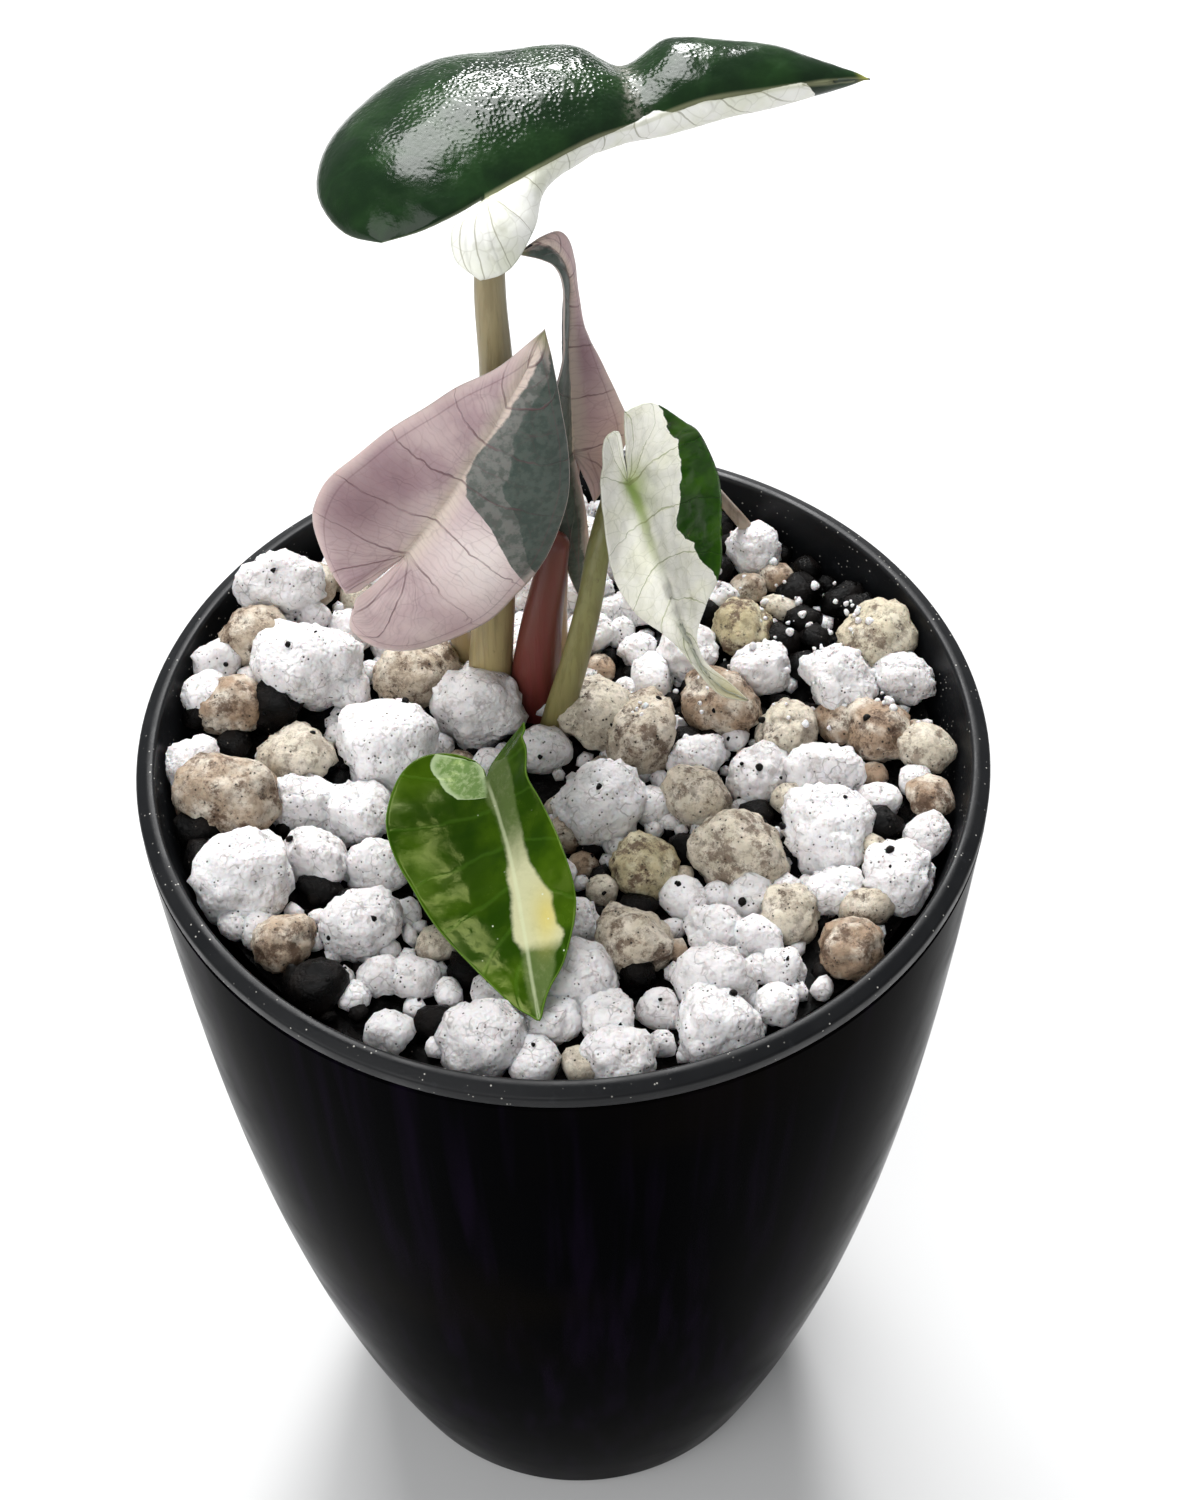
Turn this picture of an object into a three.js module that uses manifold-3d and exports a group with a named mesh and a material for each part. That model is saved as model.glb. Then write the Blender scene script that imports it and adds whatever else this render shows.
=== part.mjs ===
// A young variegated alocasia in a glossy black pot: five leaves on their stems, in a bed of
// perlite, pumice and charcoal, held by a dark inner pot that hangs in the outer one by its lip.
// Millimetres, +Z up. The origin is the centre of the pot's base, on the surface it stands on.
import * as THREE from 'three';
import { mergeVertices } from 'three/addons/utils/BufferGeometryUtils.js';
import Module from 'manifold-3d';

const wasm = await Module();
wasm.setup();

// Driving sizes of the two pots
const POT_HEIGHT = 135;
const RIM_RADIUS = 50;
const RIM_LINE_DROP = 2.1;
const TAPER = 6;
const BELLY = 13.3;
const BELLY_POWER = 2.6;
const OUTER_WALL = 1.8;
const OUTER_FLOOR = 2.5;
const FOOT_ROUNDING = 1.5;
const LIP_WIDTH = 2.3;
const LIP_RISE = 0.5;
const LIP_ROUNDING = 0.5;
const LINER_TOP_RADIUS = 47.5;
const LINER_FLOOR_RADIUS = 30;
const LINER_FLOOR_Z = 22;
const LINER_WALL = 1.4;
const LINER_NECK_Z = 128;
const DRAIN_HOLES = 6;
const DRAIN_HOLE_RADIUS = 3;
const DRAIN_RING_RADIUS = 18;
const POT_SIDES = 48;
const GAP = 0.3;

// Driving sizes of the bed and the plant
const BED_Z = 126.8;
const BED_EDGE_RISE = 3;
const BED_RADIUS = 45;
const HEAP_RISE = 4;
const HEAP_X = -36;
const HEAP_Y = 24;
const HEAP_SPREAD = 10;
const PUMICE_LAYER_TOP_Z = 120.5;
const MIX_TOP_Z = 117;
const BLADE_THICKNESS = 0.8;
const CORM_RADIUS = 8;
const CORM_HEIGHT = 16;
const CORM_TOP_Z = 115;
const CORM_X = -6;
const CORM_Y = 14;
const LEAST_PIECE_VOLUME = 4;

const COLOURS = {
  pot: 0x0b0a0c, liner: 0x1b1c1f, mix: 0x1d1a18, perlite: 0xe9e7e6, pumice: 0xa89a88,
  greenLeaf: 0x173a1a, pinkLeaf: 0x8d737a, whiteLeaf: 0xd9dccb, lightGreenLeaf: 0x35601c,
  stem: 0x8f8660, sheath: 0xa4605a, corm: 0x6d5138, root: 0xa79c8c,
};
const PLASTIC_SHINE = { roughness: 0.2, metalness: 0 };
const SATIN = { roughness: 0.45, metalness: 0 };
const MATT = { roughness: 0.9, metalness: 0 };
const LEAF_SHINE = { roughness: 0.35, metalness: 0 };

// Helpers between three.js geometry and closed solids

function solidOf(geometry) {
  const bare = geometry.clone();
  bare.deleteAttribute('normal');
  bare.deleteAttribute('uv');
  const merged = mergeVertices(bare, 1e-4);
  const vertProperties = new Float32Array(merged.attributes.position.array);
  const triVerts = new Uint32Array(merged.index.array);
  return new wasm.Manifold(new wasm.Mesh({ numProp: 3, vertProperties, triVerts }));
}

function geometryOf(solid) {
  const mesh = solid.getMesh();
  const geometry = new THREE.BufferGeometry();
  const positions = new THREE.BufferAttribute(new Float32Array(mesh.vertProperties), 3);
  geometry.setAttribute('position', positions);
  geometry.setIndex(new THREE.BufferAttribute(new Uint32Array(mesh.triVerts), 1));
  geometry.computeVertexNormals();
  return geometry;
}

function meshOf(name, solid, colour, surface) {
  const material = new THREE.MeshStandardMaterial({ color: colour, ...surface });
  const mesh = new THREE.Mesh(geometryOf(solid), material);
  mesh.name = name;
  return mesh;
}

function lathe(profile) {
  const points = profile.map(([r, z]) => new THREE.Vector2(r, z));
  const geometry = new THREE.LatheGeometry(points, POT_SIDES);
  geometry.rotateX(Math.PI / 2);
  return solidOf(geometry);
}

function union(solids) {
  return solids.reduce((sum, solid) => sum.add(solid));
}

// The separate bodies of a solid, largest first, without loose scraps or sealed hollows
function bodiesOf(solid) {
  const bodies = solid.decompose().filter((body) => body.volume() > LEAST_PIECE_VOLUME);
  return bodies.sort((a, b) => b.volume() - a.volume());
}

function vector([x, y, z]) {
  return new THREE.Vector3(x, y, z);
}

function curveThrough(points) {
  return new THREE.CatmullRomCurve3(points.map(vector), false, 'centripetal');
}

// A small seeded random source
function seeded(seed) {
  let state = seed >>> 0;
  return () => {
    state = (Math.imul(state, 1664525) + 1013904223) >>> 0;
    return state / 4294967296;
  };
}

// The pots

const RIM_Z = POT_HEIGHT - RIM_LINE_DROP;

function outerRadius(z) {
  const depth = (RIM_Z - z) / RIM_Z;
  return RIM_RADIUS - TAPER * depth - BELLY * depth ** BELLY_POWER;
}

function outerPot() {
  const foot = outerRadius(0) - FOOT_ROUNDING;
  const profile = [[0, 0], [foot, 0], [foot + 0.8 * FOOT_ROUNDING, 0.35 * FOOT_ROUNDING]];
  const steps = 7;
  for (let i = 0; i <= steps; i++) {
    const z = FOOT_ROUNDING + ((RIM_Z - FOOT_ROUNDING) * i) / steps;
    profile.push([outerRadius(z), z]);
  }
  for (let i = steps; i >= 1; i--) {
    const z = OUTER_FLOOR + ((RIM_Z - OUTER_FLOOR) * i) / steps;
    profile.push([outerRadius(z) - OUTER_WALL, z]);
  }
  profile.push([outerRadius(OUTER_FLOOR) - OUTER_WALL, OUTER_FLOOR], [0, OUTER_FLOOR]);
  return lathe(profile);
}

function linerPot() {
  const lipInner = RIM_RADIUS - LIP_WIDTH;
  const lipBottom = RIM_Z + GAP;
  const profile = [
    [0, LINER_FLOOR_Z],
    [LINER_FLOOR_RADIUS, LINER_FLOOR_Z],
    [LINER_TOP_RADIUS, LINER_NECK_Z],
    [LINER_TOP_RADIUS, lipBottom],
    [RIM_RADIUS, lipBottom],
    [RIM_RADIUS, POT_HEIGHT - LIP_ROUNDING],
    [RIM_RADIUS - LIP_ROUNDING, POT_HEIGHT],
    [lipInner + LIP_ROUNDING, POT_HEIGHT + LIP_RISE],
    [lipInner, POT_HEIGHT],
    [LINER_TOP_RADIUS - LINER_WALL, LINER_NECK_Z],
    [LINER_FLOOR_RADIUS - LINER_WALL, LINER_FLOOR_Z + LINER_WALL],
    [0, LINER_FLOOR_Z + LINER_WALL],
  ];
  let liner = lathe(profile);
  for (let i = 0; i < DRAIN_HOLES; i++) {
    const angle = (2 * Math.PI * i) / DRAIN_HOLES;
    const hole = new THREE.CylinderGeometry(DRAIN_HOLE_RADIUS, DRAIN_HOLE_RADIUS, 6, 12);
    hole.rotateX(Math.PI / 2);
    hole.translate(DRAIN_RING_RADIUS * Math.cos(angle), DRAIN_RING_RADIUS * Math.sin(angle), LINER_FLOOR_Z);
    liner = liner.subtract(solidOf(hole));
  }
  return liner;
}

// The bed's own surface under the loose stones: a shallow dish, heaped at the back left
function bedHeight(x, y) {
  const rise = BED_EDGE_RISE * (Math.hypot(x, y) / BED_RADIUS) ** 2;
  const fromHeap = Math.hypot(x - HEAP_X, y - HEAP_Y) / HEAP_SPREAD;
  return BED_Z + rise + HEAP_RISE * Math.exp(-0.5 * fromHeap * fromHeap);
}

// The clear radius inside the inner pot at a height
function linerInside(z) {
  const floorZ = LINER_FLOOR_Z + LINER_WALL;
  const share = Math.min(1, (z - floorZ) / (LINER_NECK_Z - floorZ));
  const floorRadius = LINER_FLOOR_RADIUS - LINER_WALL;
  return floorRadius + (LINER_TOP_RADIUS - LINER_WALL - floorRadius) * share - GAP;
}

// The room inside the inner pot, which the whole bed keeps to
function potRoom() {
  const floorZ = LINER_FLOOR_Z + LINER_WALL + GAP;
  const mouthRadius = RIM_RADIUS - LIP_WIDTH - GAP;
  const topZ = 1.1 * POT_HEIGHT;
  return lathe([
    [0, floorZ],
    [linerInside(floorZ), floorZ],
    [linerInside(LINER_NECK_Z), LINER_NECK_Z],
    [mouthRadius, POT_HEIGHT],
    [mouthRadius, topZ],
    [0, topZ],
  ]);
}

// A round slab of the bed inside the inner pot, from one height up to another
function slab(bottomZ, topAt) {
  const sides = SLAB_SIDES;
  const shares = [1, 0.8, 0.5];
  const positions = [0, 0, bottomZ];
  const addRing = (share, height) => {
    for (let i = 0; i < sides; i++) {
      const angle = (2 * Math.PI * i) / sides;
      const edgeZ = height(BED_RADIUS * Math.cos(angle), BED_RADIUS * Math.sin(angle));
      const radius = share * linerInside(edgeZ);
      const x = radius * Math.cos(angle);
      const y = radius * Math.sin(angle);
      positions.push(x, y, height(x, y));
    }
  };
  addRing(1, () => bottomZ);
  for (const share of shares) addRing(share, topAt);
  positions.push(0, 0, topAt(0, 0));
  const centre = 1 + sides * (shares.length + 1);
  const index = [];
  for (let i = 0; i < sides; i++) {
    const next = (i + 1) % sides;
    index.push(0, 1 + next, 1 + i);
    for (let ring = 0; ring < shares.length; ring++) {
      const outer = 1 + sides * ring;
      const inner = outer + sides;
      index.push(outer + i, outer + next, inner + next, outer + i, inner + next, inner + i);
    }
    index.push(centre - sides + i, centre - sides + next, centre);
  }
  const geometry = new THREE.BufferGeometry();
  geometry.setAttribute('position', new THREE.Float32BufferAttribute(positions, 3));
  geometry.setIndex(index);
  return solidOf(geometry);
}

// The stones: x, y and radius of the ones that stand out, in millimetres

const WHITE_STONES = [
  [-35, 25, 4.6], [-42, 14.5, 2.8], [-42.5, 10, 3.1], [-31, 13.5, 5.7], [-26, 12, 2.7],
  [-10, 8.5, 5.3], [-43.5, -0.5, 3.3], [-21.5, 3, 5.7], [-31, -5, 3.8], [-24.5, -7, 4],
  [-29.5, -14, 3.6], [-21.5, -14.5, 3.1], [-36.5, -18, 5], [-2.5, 3.5, 3], [-23.5, -23.5, 4.2],
  [-20.5, -30.5, 2.4], [-16.5, -30.5, 2.7], [-19, -39, 2.6], [-8.5, -40, 4.3], [0.5, -31, 4.2],
  [5, -37, 3.2], [10.5, -35.5, 2.3], [17, -32, 4.2], [16.5, -39, 4.3], [6, -42.5, 3.6],
  [21.5, -26.5, 2.8], [24.5, -30.5, 2.4], [23.5, -36, 2.4], [4, -5.5, 4.7], [23, -1.5, 3.4],
  [31, -2, 3.9], [30, -11.5, 5], [37, -6, 2.3], [41.5, -12.5, 2.8], [38, -19, 4], [31, -20, 3.2],
  [24.5, 34.5, 3.2], [20, 27.5, 2.1], [9, 19.5, 2.4], [33, 12, 4.6],
];
const TAN_STONES = [
  [-31, 26, 2.7], [-37.5, 17.5, 3.5], [-18.5, 14.5, 4.5], [-40, 8, 3.6], [-32, 1.5, 3.9],
  [-39.5, -5.5, 5.1], [-31.5, -26.5, 3.2], [4.5, 8.5, 4.4], [9.5, 5.5, 4.7], [19, 9.5, 4.2],
  [16, -4.5, 3.7], [20, -13.5, 4.6], [9, -15, 3.6], [8, -26, 4], [22, 21.5, 3.6],
  [23.5, 28.5, 2], [38.5, 18.5, 4.2], [27, 5.5, 3.4], [33, 6.5, 2.7], [38, 3.5, 3.8],
  [43, 0.5, 3], [43, -6.5, 2.7], [25.5, -23, 3.2], [34.5, -22.5, 2.8], [32, -29, 3.4],
];
const BLACK_STONES = [
  [-35, 8, 3.4], [-44, 7, 2], [-39.5, 3, 2], [-42, -9.5, 2.9], [-41, -15, 2.9], [-28, -18, 2.3],
  [-27.5, -32, 3.1], [-14.5, -36.5, 2.2], [37, -10, 2.3], [14, -11.5, 2], [8, -30, 2],
  [29.5, 27.5, 2.5], [34.5, 25.5, 2.5], [27, 20, 2.5], [31.5, 19.5, 2.2], [37, 24, 2.5],
  [22.5, -7, 2], [8.5, -20, 2], [-14.5, -19.5, 2], [-11, -29, 2], [-25, -20, 2],
];
const SLAB_SIDES = 24;
const STONE_SINK = 0.6;
const STONE_FLATTENING = 0.85;
const STONE_ROUGHNESS = 0.16;
const FINELY_CUT_FROM = 5;
const POST_WIDTH = 1.6;

// Smaller white stones thrown at random into the gaps that the larger ones leave
function fillStones() {
  const random = seeded(5);
  const placed = [...WHITE_STONES, ...TAN_STONES, ...BLACK_STONES];
  const fill = [];
  for (let tries = 0; tries < 500; tries++) {
    const angle = 2 * Math.PI * random();
    const reach = (BED_RADIUS - 2) * Math.sqrt(random());
    const place = [reach * Math.cos(angle), reach * Math.sin(angle), 2.6 + 1.2 * random()];
    const isFree = ([x, y, r]) => Math.hypot(place[0] - x, place[1] - y) > 0.85 * (r + place[2]);
    if (placed.every(isFree)) {
      placed.push(place);
      fill.push(place);
    }
  }
  return fill;
}

function stone([x, y, radius], random, extra) {
  const detail = radius < FINELY_CUT_FROM ? 0 : 1;
  const geometry = mergeVertices(bareOf(new THREE.IcosahedronGeometry(1, detail)), 1e-4);
  const stretch = 0.88 + 0.24 * random();
  const turn = 2 * Math.PI * random();
  const position = geometry.attributes.position;
  for (let i = 0; i < position.count; i++) {
    const reach = radius * (1 + STONE_ROUGHNESS * (2 * random() - 1)) + extra;
    const away = new THREE.Vector3().fromBufferAttribute(position, i).multiplyScalar(reach);
    position.setXYZ(i, away.x * stretch, away.y / stretch, away.z * STONE_FLATTENING);
  }
  geometry.rotateZ(turn);
  geometry.translate(x, y, bedHeight(x, y) + STONE_SINK * radius);
  return solidOf(geometry);
}

function stones({ places, seed }, extra) {
  const random = seeded(seed);
  return union(places.map((place) => stone(place, random, extra)));
}

// A square post under each stone, that roots it in the slab of its own colour
function posts({ places, rootZ }, extra) {
  return union(places.map(([x, y]) => {
    const top = bedHeight(x, y) + 1 + extra;
    const bottom = rootZ - extra;
    const geometry = new THREE.BoxGeometry(POST_WIDTH + 2 * extra, POST_WIDTH + 2 * extra, top - bottom);
    geometry.translate(x, y, (top + bottom) / 2);
    return solidOf(geometry);
  }));
}

function bareOf(geometry) {
  geometry.deleteAttribute('normal');
  geometry.deleteAttribute('uv');
  return geometry;
}

// The leaves. Each blade hangs between rails: the midrib from junction to tip and, for each half,
// the margin from the end of its basal lobe past the shoulder to the tip, and the notch edge from
// the lobe's end back to the junction.

const LEAVES = {
  top_leaf: {
    colour: COLOURS.greenLeaf,
    midrib: [[-6.5, 15, 202], [-1, 19.5, 202.3], [5, 24.5, 202.2], [9.5, 27.5, 201.6],
      [16, 30.5, 202.2], [22.5, 33.5, 201.2], [29, 36.5, 200], [35, 40, 198]],
    left: {
      notch: [[-17, 10.5, 200], [-13, 11, 201], [-9.8, 12, 202], [-6.5, 15, 202]],
      margin: [[-17, 10.5, 200], [-21, 13.5, 198.8], [-24, 19, 199.5], [-23.5, 25, 201],
        [-20, 31, 202], [-14, 36, 203], [-6, 39, 203], [2, 40, 202.5], [7.5, 39.5, 200.5],
        [13, 40.5, 203], [20, 41, 202.5], [27, 41, 200.5], [35, 40, 198]],
      shoulder: 5,
      arch: 0.14,
    },
    right: {
      notch: [[-7.2, 9.6, 195.8], [-9.6, 9.6, 198.5], [-9.8, 11, 201.3], [-6.5, 15, 202]],
      margin: [[-7.2, 9.6, 195.8], [-4.2, 10, 196.8], [-2, 13.6, 198.4], [-0.6, 20.5, 198.8],
        [2.4, 26, 198.6], [10, 30, 198], [18, 33.2, 197.8], [26, 37.2, 197.4], [35, 40, 198]],
      shoulder: 2,
      arch: 0.14,
    },
  },
  pink_leaf: {
    colour: COLOURS.pinkLeaf,
    midrib: [[-16.6, 3, 163], [-12.7, 4.5, 168], [-9.3, 6.2, 173], [-6, 8, 178],
      [-3.2, 9.6, 183], [-0.8, 11, 188]],
    left: {
      notch: [[-23.6, 1.2, 158.8], [-22.4, 1.2, 159], [-21, 1.6, 159.8], [-16.6, 3, 163]],
      margin: [[-23.6, 1.2, 158.8], [-25.4, 1.6, 163.5], [-26.3, 2.8, 170.3], [-24, 4, 174],
        [-18.5, 6, 177.8], [-12, 8, 181.5], [-5.8, 9.6, 184.2], [-0.8, 11, 188]],
      shoulder: 2,
      arch: 0.08,
    },
    right: {
      notch: [[-22.8, 0, 157.5], [-22.4, 0.6, 158.6], [-20.8, 1.5, 159.5], [-16.6, 3, 163]],
      margin: [[-22.8, 0, 157.5], [-23.4, 0, 154.5], [-20.3, 0, 151], [-16.5, 0.5, 150],
        [-9, 2.3, 152.3], [-4.2, 3.6, 156.5], [0.3, 5.4, 164.7], [1.4, 7, 171],
        [0.6, 9, 179.5], [-0.8, 11, 188]],
      shoulder: 4,
      arch: 0.1,
    },
  },
  back_leaf: {
    colour: COLOURS.pinkLeaf,
    midrib: [[1.8, 16, 165.6], [1.6, 17.4, 172.5], [1.4, 18.6, 179], [1.5, 19.6, 184],
      [1.7, 19.8, 187.5], [0.6, 19.2, 191.5], [-1.2, 18.4, 193.4], [-3.8, 17.6, 192.6]],
    left: {
      notch: [[2.6, 15.4, 141], [3.3, 15.6, 148], [3.1, 15.6, 156], [1.8, 16, 165.6]],
      margin: [[2.6, 15.4, 141], [0.8, 14.6, 148], [-0.4, 13.6, 158], [-1, 13.2, 167],
        [0, 14.2, 175.5], [1, 16.4, 181], [1.1, 18, 185.5], [0.6, 18.2, 189.8],
        [-1, 17.8, 191.6], [-3.8, 17.6, 192.6]],
      shoulder: 3,
      arch: 0.05,
    },
    right: {
      notch: [[4, 15.8, 158], [3.4, 15.8, 160.5], [2.6, 15.8, 163], [1.8, 16, 165.6]],
      margin: [[4, 15.8, 158], [6.2, 17, 161.5], [8, 18.6, 166.5], [7, 19.6, 170.5],
        [5, 20, 175.5], [3.4, 20.2, 180], [2.6, 20.4, 185], [2.4, 20.6, 189], [0.8, 20, 193.6],
        [-3.8, 17.6, 192.6]],
      shoulder: 2,
      arch: 0.06,
    },
  },
  white_leaf: {
    colour: COLOURS.whiteLeaf,
    midrib: [[7.9, 13.2, 163.4], [9.6, 12, 159.3], [11, 11, 154.2], [12.3, 10.5, 150.3],
      [13.7, 10, 144.6], [15, 9.4, 140.9], [16.5, 8.1, 138], [19.1, 6.9, 135.6], [22.1, 6.4, 134]],
    left: {
      notch: [[6.3, 11.8, 172.6], [7, 13.2, 171], [7.4, 13.4, 167.5], [7.9, 13.2, 163.4]],
      margin: [[6.3, 11.8, 172.6], [5.2, 11.6, 171], [5, 11, 166.5], [5.1, 10.2, 160.5],
        [6.1, 9.4, 152.6], [7.9, 9.2, 147.8], [9.6, 9.2, 145.2], [12, 9.2, 142.6],
        [14.2, 8.6, 140.4], [15.9, 7.7, 138.1], [18.6, 6.2, 135.5], [22.1, 6.4, 134]],
      shoulder: 2,
      arch: 0.1,
    },
    right: {
      notch: [[7.6, 14.4, 173], [7.6, 14, 171], [7.7, 13.7, 167.5], [7.9, 13.2, 163.4]],
      margin: [[7.6, 14.4, 173], [10.5, 16.4, 172.5], [14, 18.4, 168.2], [16.4, 19.8, 164.5],
        [18, 20.2, 159.5], [18.9, 19.4, 153.5], [19.1, 18, 149], [18.4, 15.6, 145.4],
        [17.2, 12.8, 143.6], [15.9, 10.8, 141], [16.9, 9, 138.4], [19.6, 7.8, 136],
        [22.1, 6.4, 134]],
      shoulder: 3,
      arch: 0.1,
    },
  },
  front_leaf: {
    colour: COLOURS.lightGreenLeaf,
    midrib: [[-8.8, -8.9, 138.8], [-7.5, -13.8, 139], [-6.2, -18.7, 138.5], [-5.2, -23.9, 138],
      [-4.5, -28, 137], [-3.9, -31.9, 136], [-3.3, -36, 135.2], [-2.7, -39.5, 134.4]],
    left: {
      notch: [[-10.1, -6, 138.2], [-9.6, -6.6, 138.3], [-9, -7.6, 138.5], [-8.8, -8.9, 138.8]],
      margin: [[-10.1, -6, 138.2], [-12.9, -4.6, 138], [-16.4, -5.3, 137.8], [-18.8, -7.3, 137.4],
        [-20.1, -12.7, 136.7], [-19.4, -17.2, 136.1], [-16.8, -22.6, 135.6], [-14.5, -26.8, 135.2],
        [-11.3, -31.1, 135], [-8.3, -34.6, 134.7], [-5, -38, 134.4], [-2.7, -39.5, 134.4]],
      shoulder: 3,
      arch: 0.1,
    },
    right: {
      notch: [[-4.2, -6.3, 145.2], [-6.1, -6.6, 142.2], [-7.8, -7.4, 139.8], [-8.8, -8.9, 138.8]],
      margin: [[-4.2, -6.3, 145.2], [-4.2, -8.8, 144.2], [-3.9, -11.9, 143], [-2.5, -15.1, 142.1],
        [-0.1, -20.6, 141], [1.2, -25.1, 139.6], [1.3, -29, 138.4], [0.1, -33.5, 137],
        [-1.4, -36.2, 136], [-2.7, -39.5, 134.4]],
      shoulder: 1,
      arch: 0.06,
    },
  },
};
const LOBE_ROWS = 4;
const BLADE_ROWS = 11;
const BLADE_COLUMNS = 3;
const EDGE_WAVE = 0.25;
const EDGE_WAVES = 5;

// Points across one half of a blade, row by row from the lobe's end to the tip
function halfRows(midrib, half, side) {
  const notch = curveThrough(half.notch);
  const rib = curveThrough(midrib);
  const margin = curveThrough(half.margin);
  const shoulder = half.shoulder / (half.margin.length - 1);
  const rows = [];
  for (let i = 0; i <= LOBE_ROWS + BLADE_ROWS; i++) {
    const inLobe = i < LOBE_ROWS;
    const share = inLobe ? i / LOBE_ROWS : (i - LOBE_ROWS) / BLADE_ROWS;
    const inner = inLobe ? notch.getPoint(share) : rib.getPoint(share);
    const outer = margin.getPoint(inLobe ? share * shoulder : shoulder + share * (1 - shoulder));
    rows.push({ inner, outer, share: i / (LOBE_ROWS + BLADE_ROWS) });
  }
  return rows.map((row, i) => {
    const before = rows[Math.max(0, i - 1)];
    const after = rows[Math.min(rows.length - 1, i + 1)];
    const along = after.inner.clone().add(after.outer).sub(before.inner).sub(before.outer);
    const across = row.outer.clone().sub(row.inner);
    const width = across.length();
    const up = along.cross(across).multiplyScalar(side).normalize();
    const points = [];
    for (let j = 0; j <= BLADE_COLUMNS; j++) {
      const v = j / BLADE_COLUMNS;
      const wave = EDGE_WAVE * v * v * Math.sin(2 * Math.PI * EDGE_WAVES * row.share);
      const lift = width * half.arch * 4 * v * (1 - v) + wave * Math.min(1, width / 6);
      points.push(row.inner.clone().lerp(row.outer, v).addScaledVector(up, lift));
    }
    return points;
  });
}

// A blade as one closed sheet of even thickness, split into triangles alike on both faces
function blade(leaf, thickness) {
  const points = [];
  const places = new Map();
  const indexOf = (point) => {
    const key = point.toArray().map((value) => Math.round(value * 1e3)).join(' ');
    if (!places.has(key)) {
      places.set(key, points.length);
      points.push(point);
    }
    return places.get(key);
  };
  const faces = [];
  const addFace = (a, b, c) => {
    if (a !== b && b !== c && c !== a) faces.push([a, b, c]);
  };
  for (const [half, side] of [[leaf.left, 1], [leaf.right, -1]]) {
    const rows = halfRows(leaf.midrib, half, side).map((row) => row.map(indexOf));
    for (let i = 0; i + 1 < rows.length; i++) {
      for (let j = 0; j < BLADE_COLUMNS; j++) {
        const corners = [rows[i][j], rows[i + 1][j], rows[i + 1][j + 1], rows[i][j + 1]];
        if (side < 0) corners.reverse();
        const [a, b, c, d] = corners;
        addFace(a, b, c);
        addFace(a, c, d);
      }
    }
  }
  return thickened(points, faces, thickness);
}

function thickened(points, faces, thickness) {
  const normals = points.map(() => new THREE.Vector3());
  const edges = new Map();
  for (const [a, b, c] of faces) {
    const u = points[b].clone().sub(points[a]);
    const v = points[c].clone().sub(points[a]);
    const normal = u.cross(v);
    for (const corner of [a, b, c]) normals[corner].add(normal);
    for (const [from, to] of [[a, b], [b, c], [c, a]]) edges.set(`${from} ${to}`, [from, to]);
  }
  const positions = [];
  for (const face of [0.5, -0.5]) {
    points.forEach((point, i) => {
      const offset = normals[i].clone().normalize().multiplyScalar(face * thickness);
      positions.push(...point.clone().add(offset).toArray());
    });
  }
  const count = points.length;
  const index = [];
  for (const [a, b, c] of faces) index.push(a, b, c, count + a, count + c, count + b);
  for (const [from, to] of edges.values()) {
    if (edges.has(`${to} ${from}`)) continue;
    index.push(count + from, count + to, to, count + from, to, from);
  }
  const geometry = new THREE.BufferGeometry();
  geometry.setAttribute('position', new THREE.Float32BufferAttribute(positions, 3));
  geometry.setIndex(index);
  return solidOf(geometry);
}

// The stems: a centre line from the corm to the blade, with the radius at its foot and its top

const STEMS = {
  top_leaf_stem: {
    line: [[-8.4, 14, 114], [-9, 13.6, 128], [-7.9, 13, 145], [-6.9, 13.5, 161],
      [-6.3, 14.5, 178], [-6.6, 15.4, 190], [-6, 15.8, 201.2]],
    foot: 3, top: 1.5,
  },
  pink_leaf_stem: {
    line: [[-9.5, 18, 114], [-11.5, 19, 126], [-14, 14.5, 145], [-16, 7.5, 157.5], [-15.9, 4, 163.2]],
    foot: 1.5, top: 1.1,
  },
  back_leaf_stem: {
    line: [[-2.6, 17, 114], [-1, 19.4, 128], [-0.6, 18.8, 140], [0, 18.6, 149], [1.2, 18.4, 159],
      [1.9, 16.7, 166.6]],
    foot: 1.5, top: 1,
  },
  white_leaf_stem: {
    line: [[-2.6, 12, 114], [-0.9, 8.9, 128], [1.5, 9, 138.7], [3.4, 10.6, 147.4],
      [4.6, 12.8, 154], [6.4, 15.4, 159.6], [8, 14, 163.4]],
    foot: 2.1, top: 1.2,
  },
  front_leaf_stem: {
    line: [[-7.5, 9, 114], [-8.4, 3, 121], [-9, -4, 131], [-8.6, -9.6, 138.2]],
    foot: 1.4, top: 1,
  },
  red_sheath: {
    line: [[-4.2, 13.8, 114], [-3.6, 13, 128], [-2.6, 12.2, 140], [-1.2, 11.8, 150], [-0.2, 11.6, 157]],
    foot: 4.2, top: 1.5,
  },
  dry_root: {
    line: [[24.6, 35.6, 124], [24.4, 35.8, 131], [20, 35.2, 139.4], [16.6, 33.6, 146]],
    foot: 1, top: 0.6,
  },
};
const STEM_SIDES = 7;
const STEM_RINGS = 7;

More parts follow.
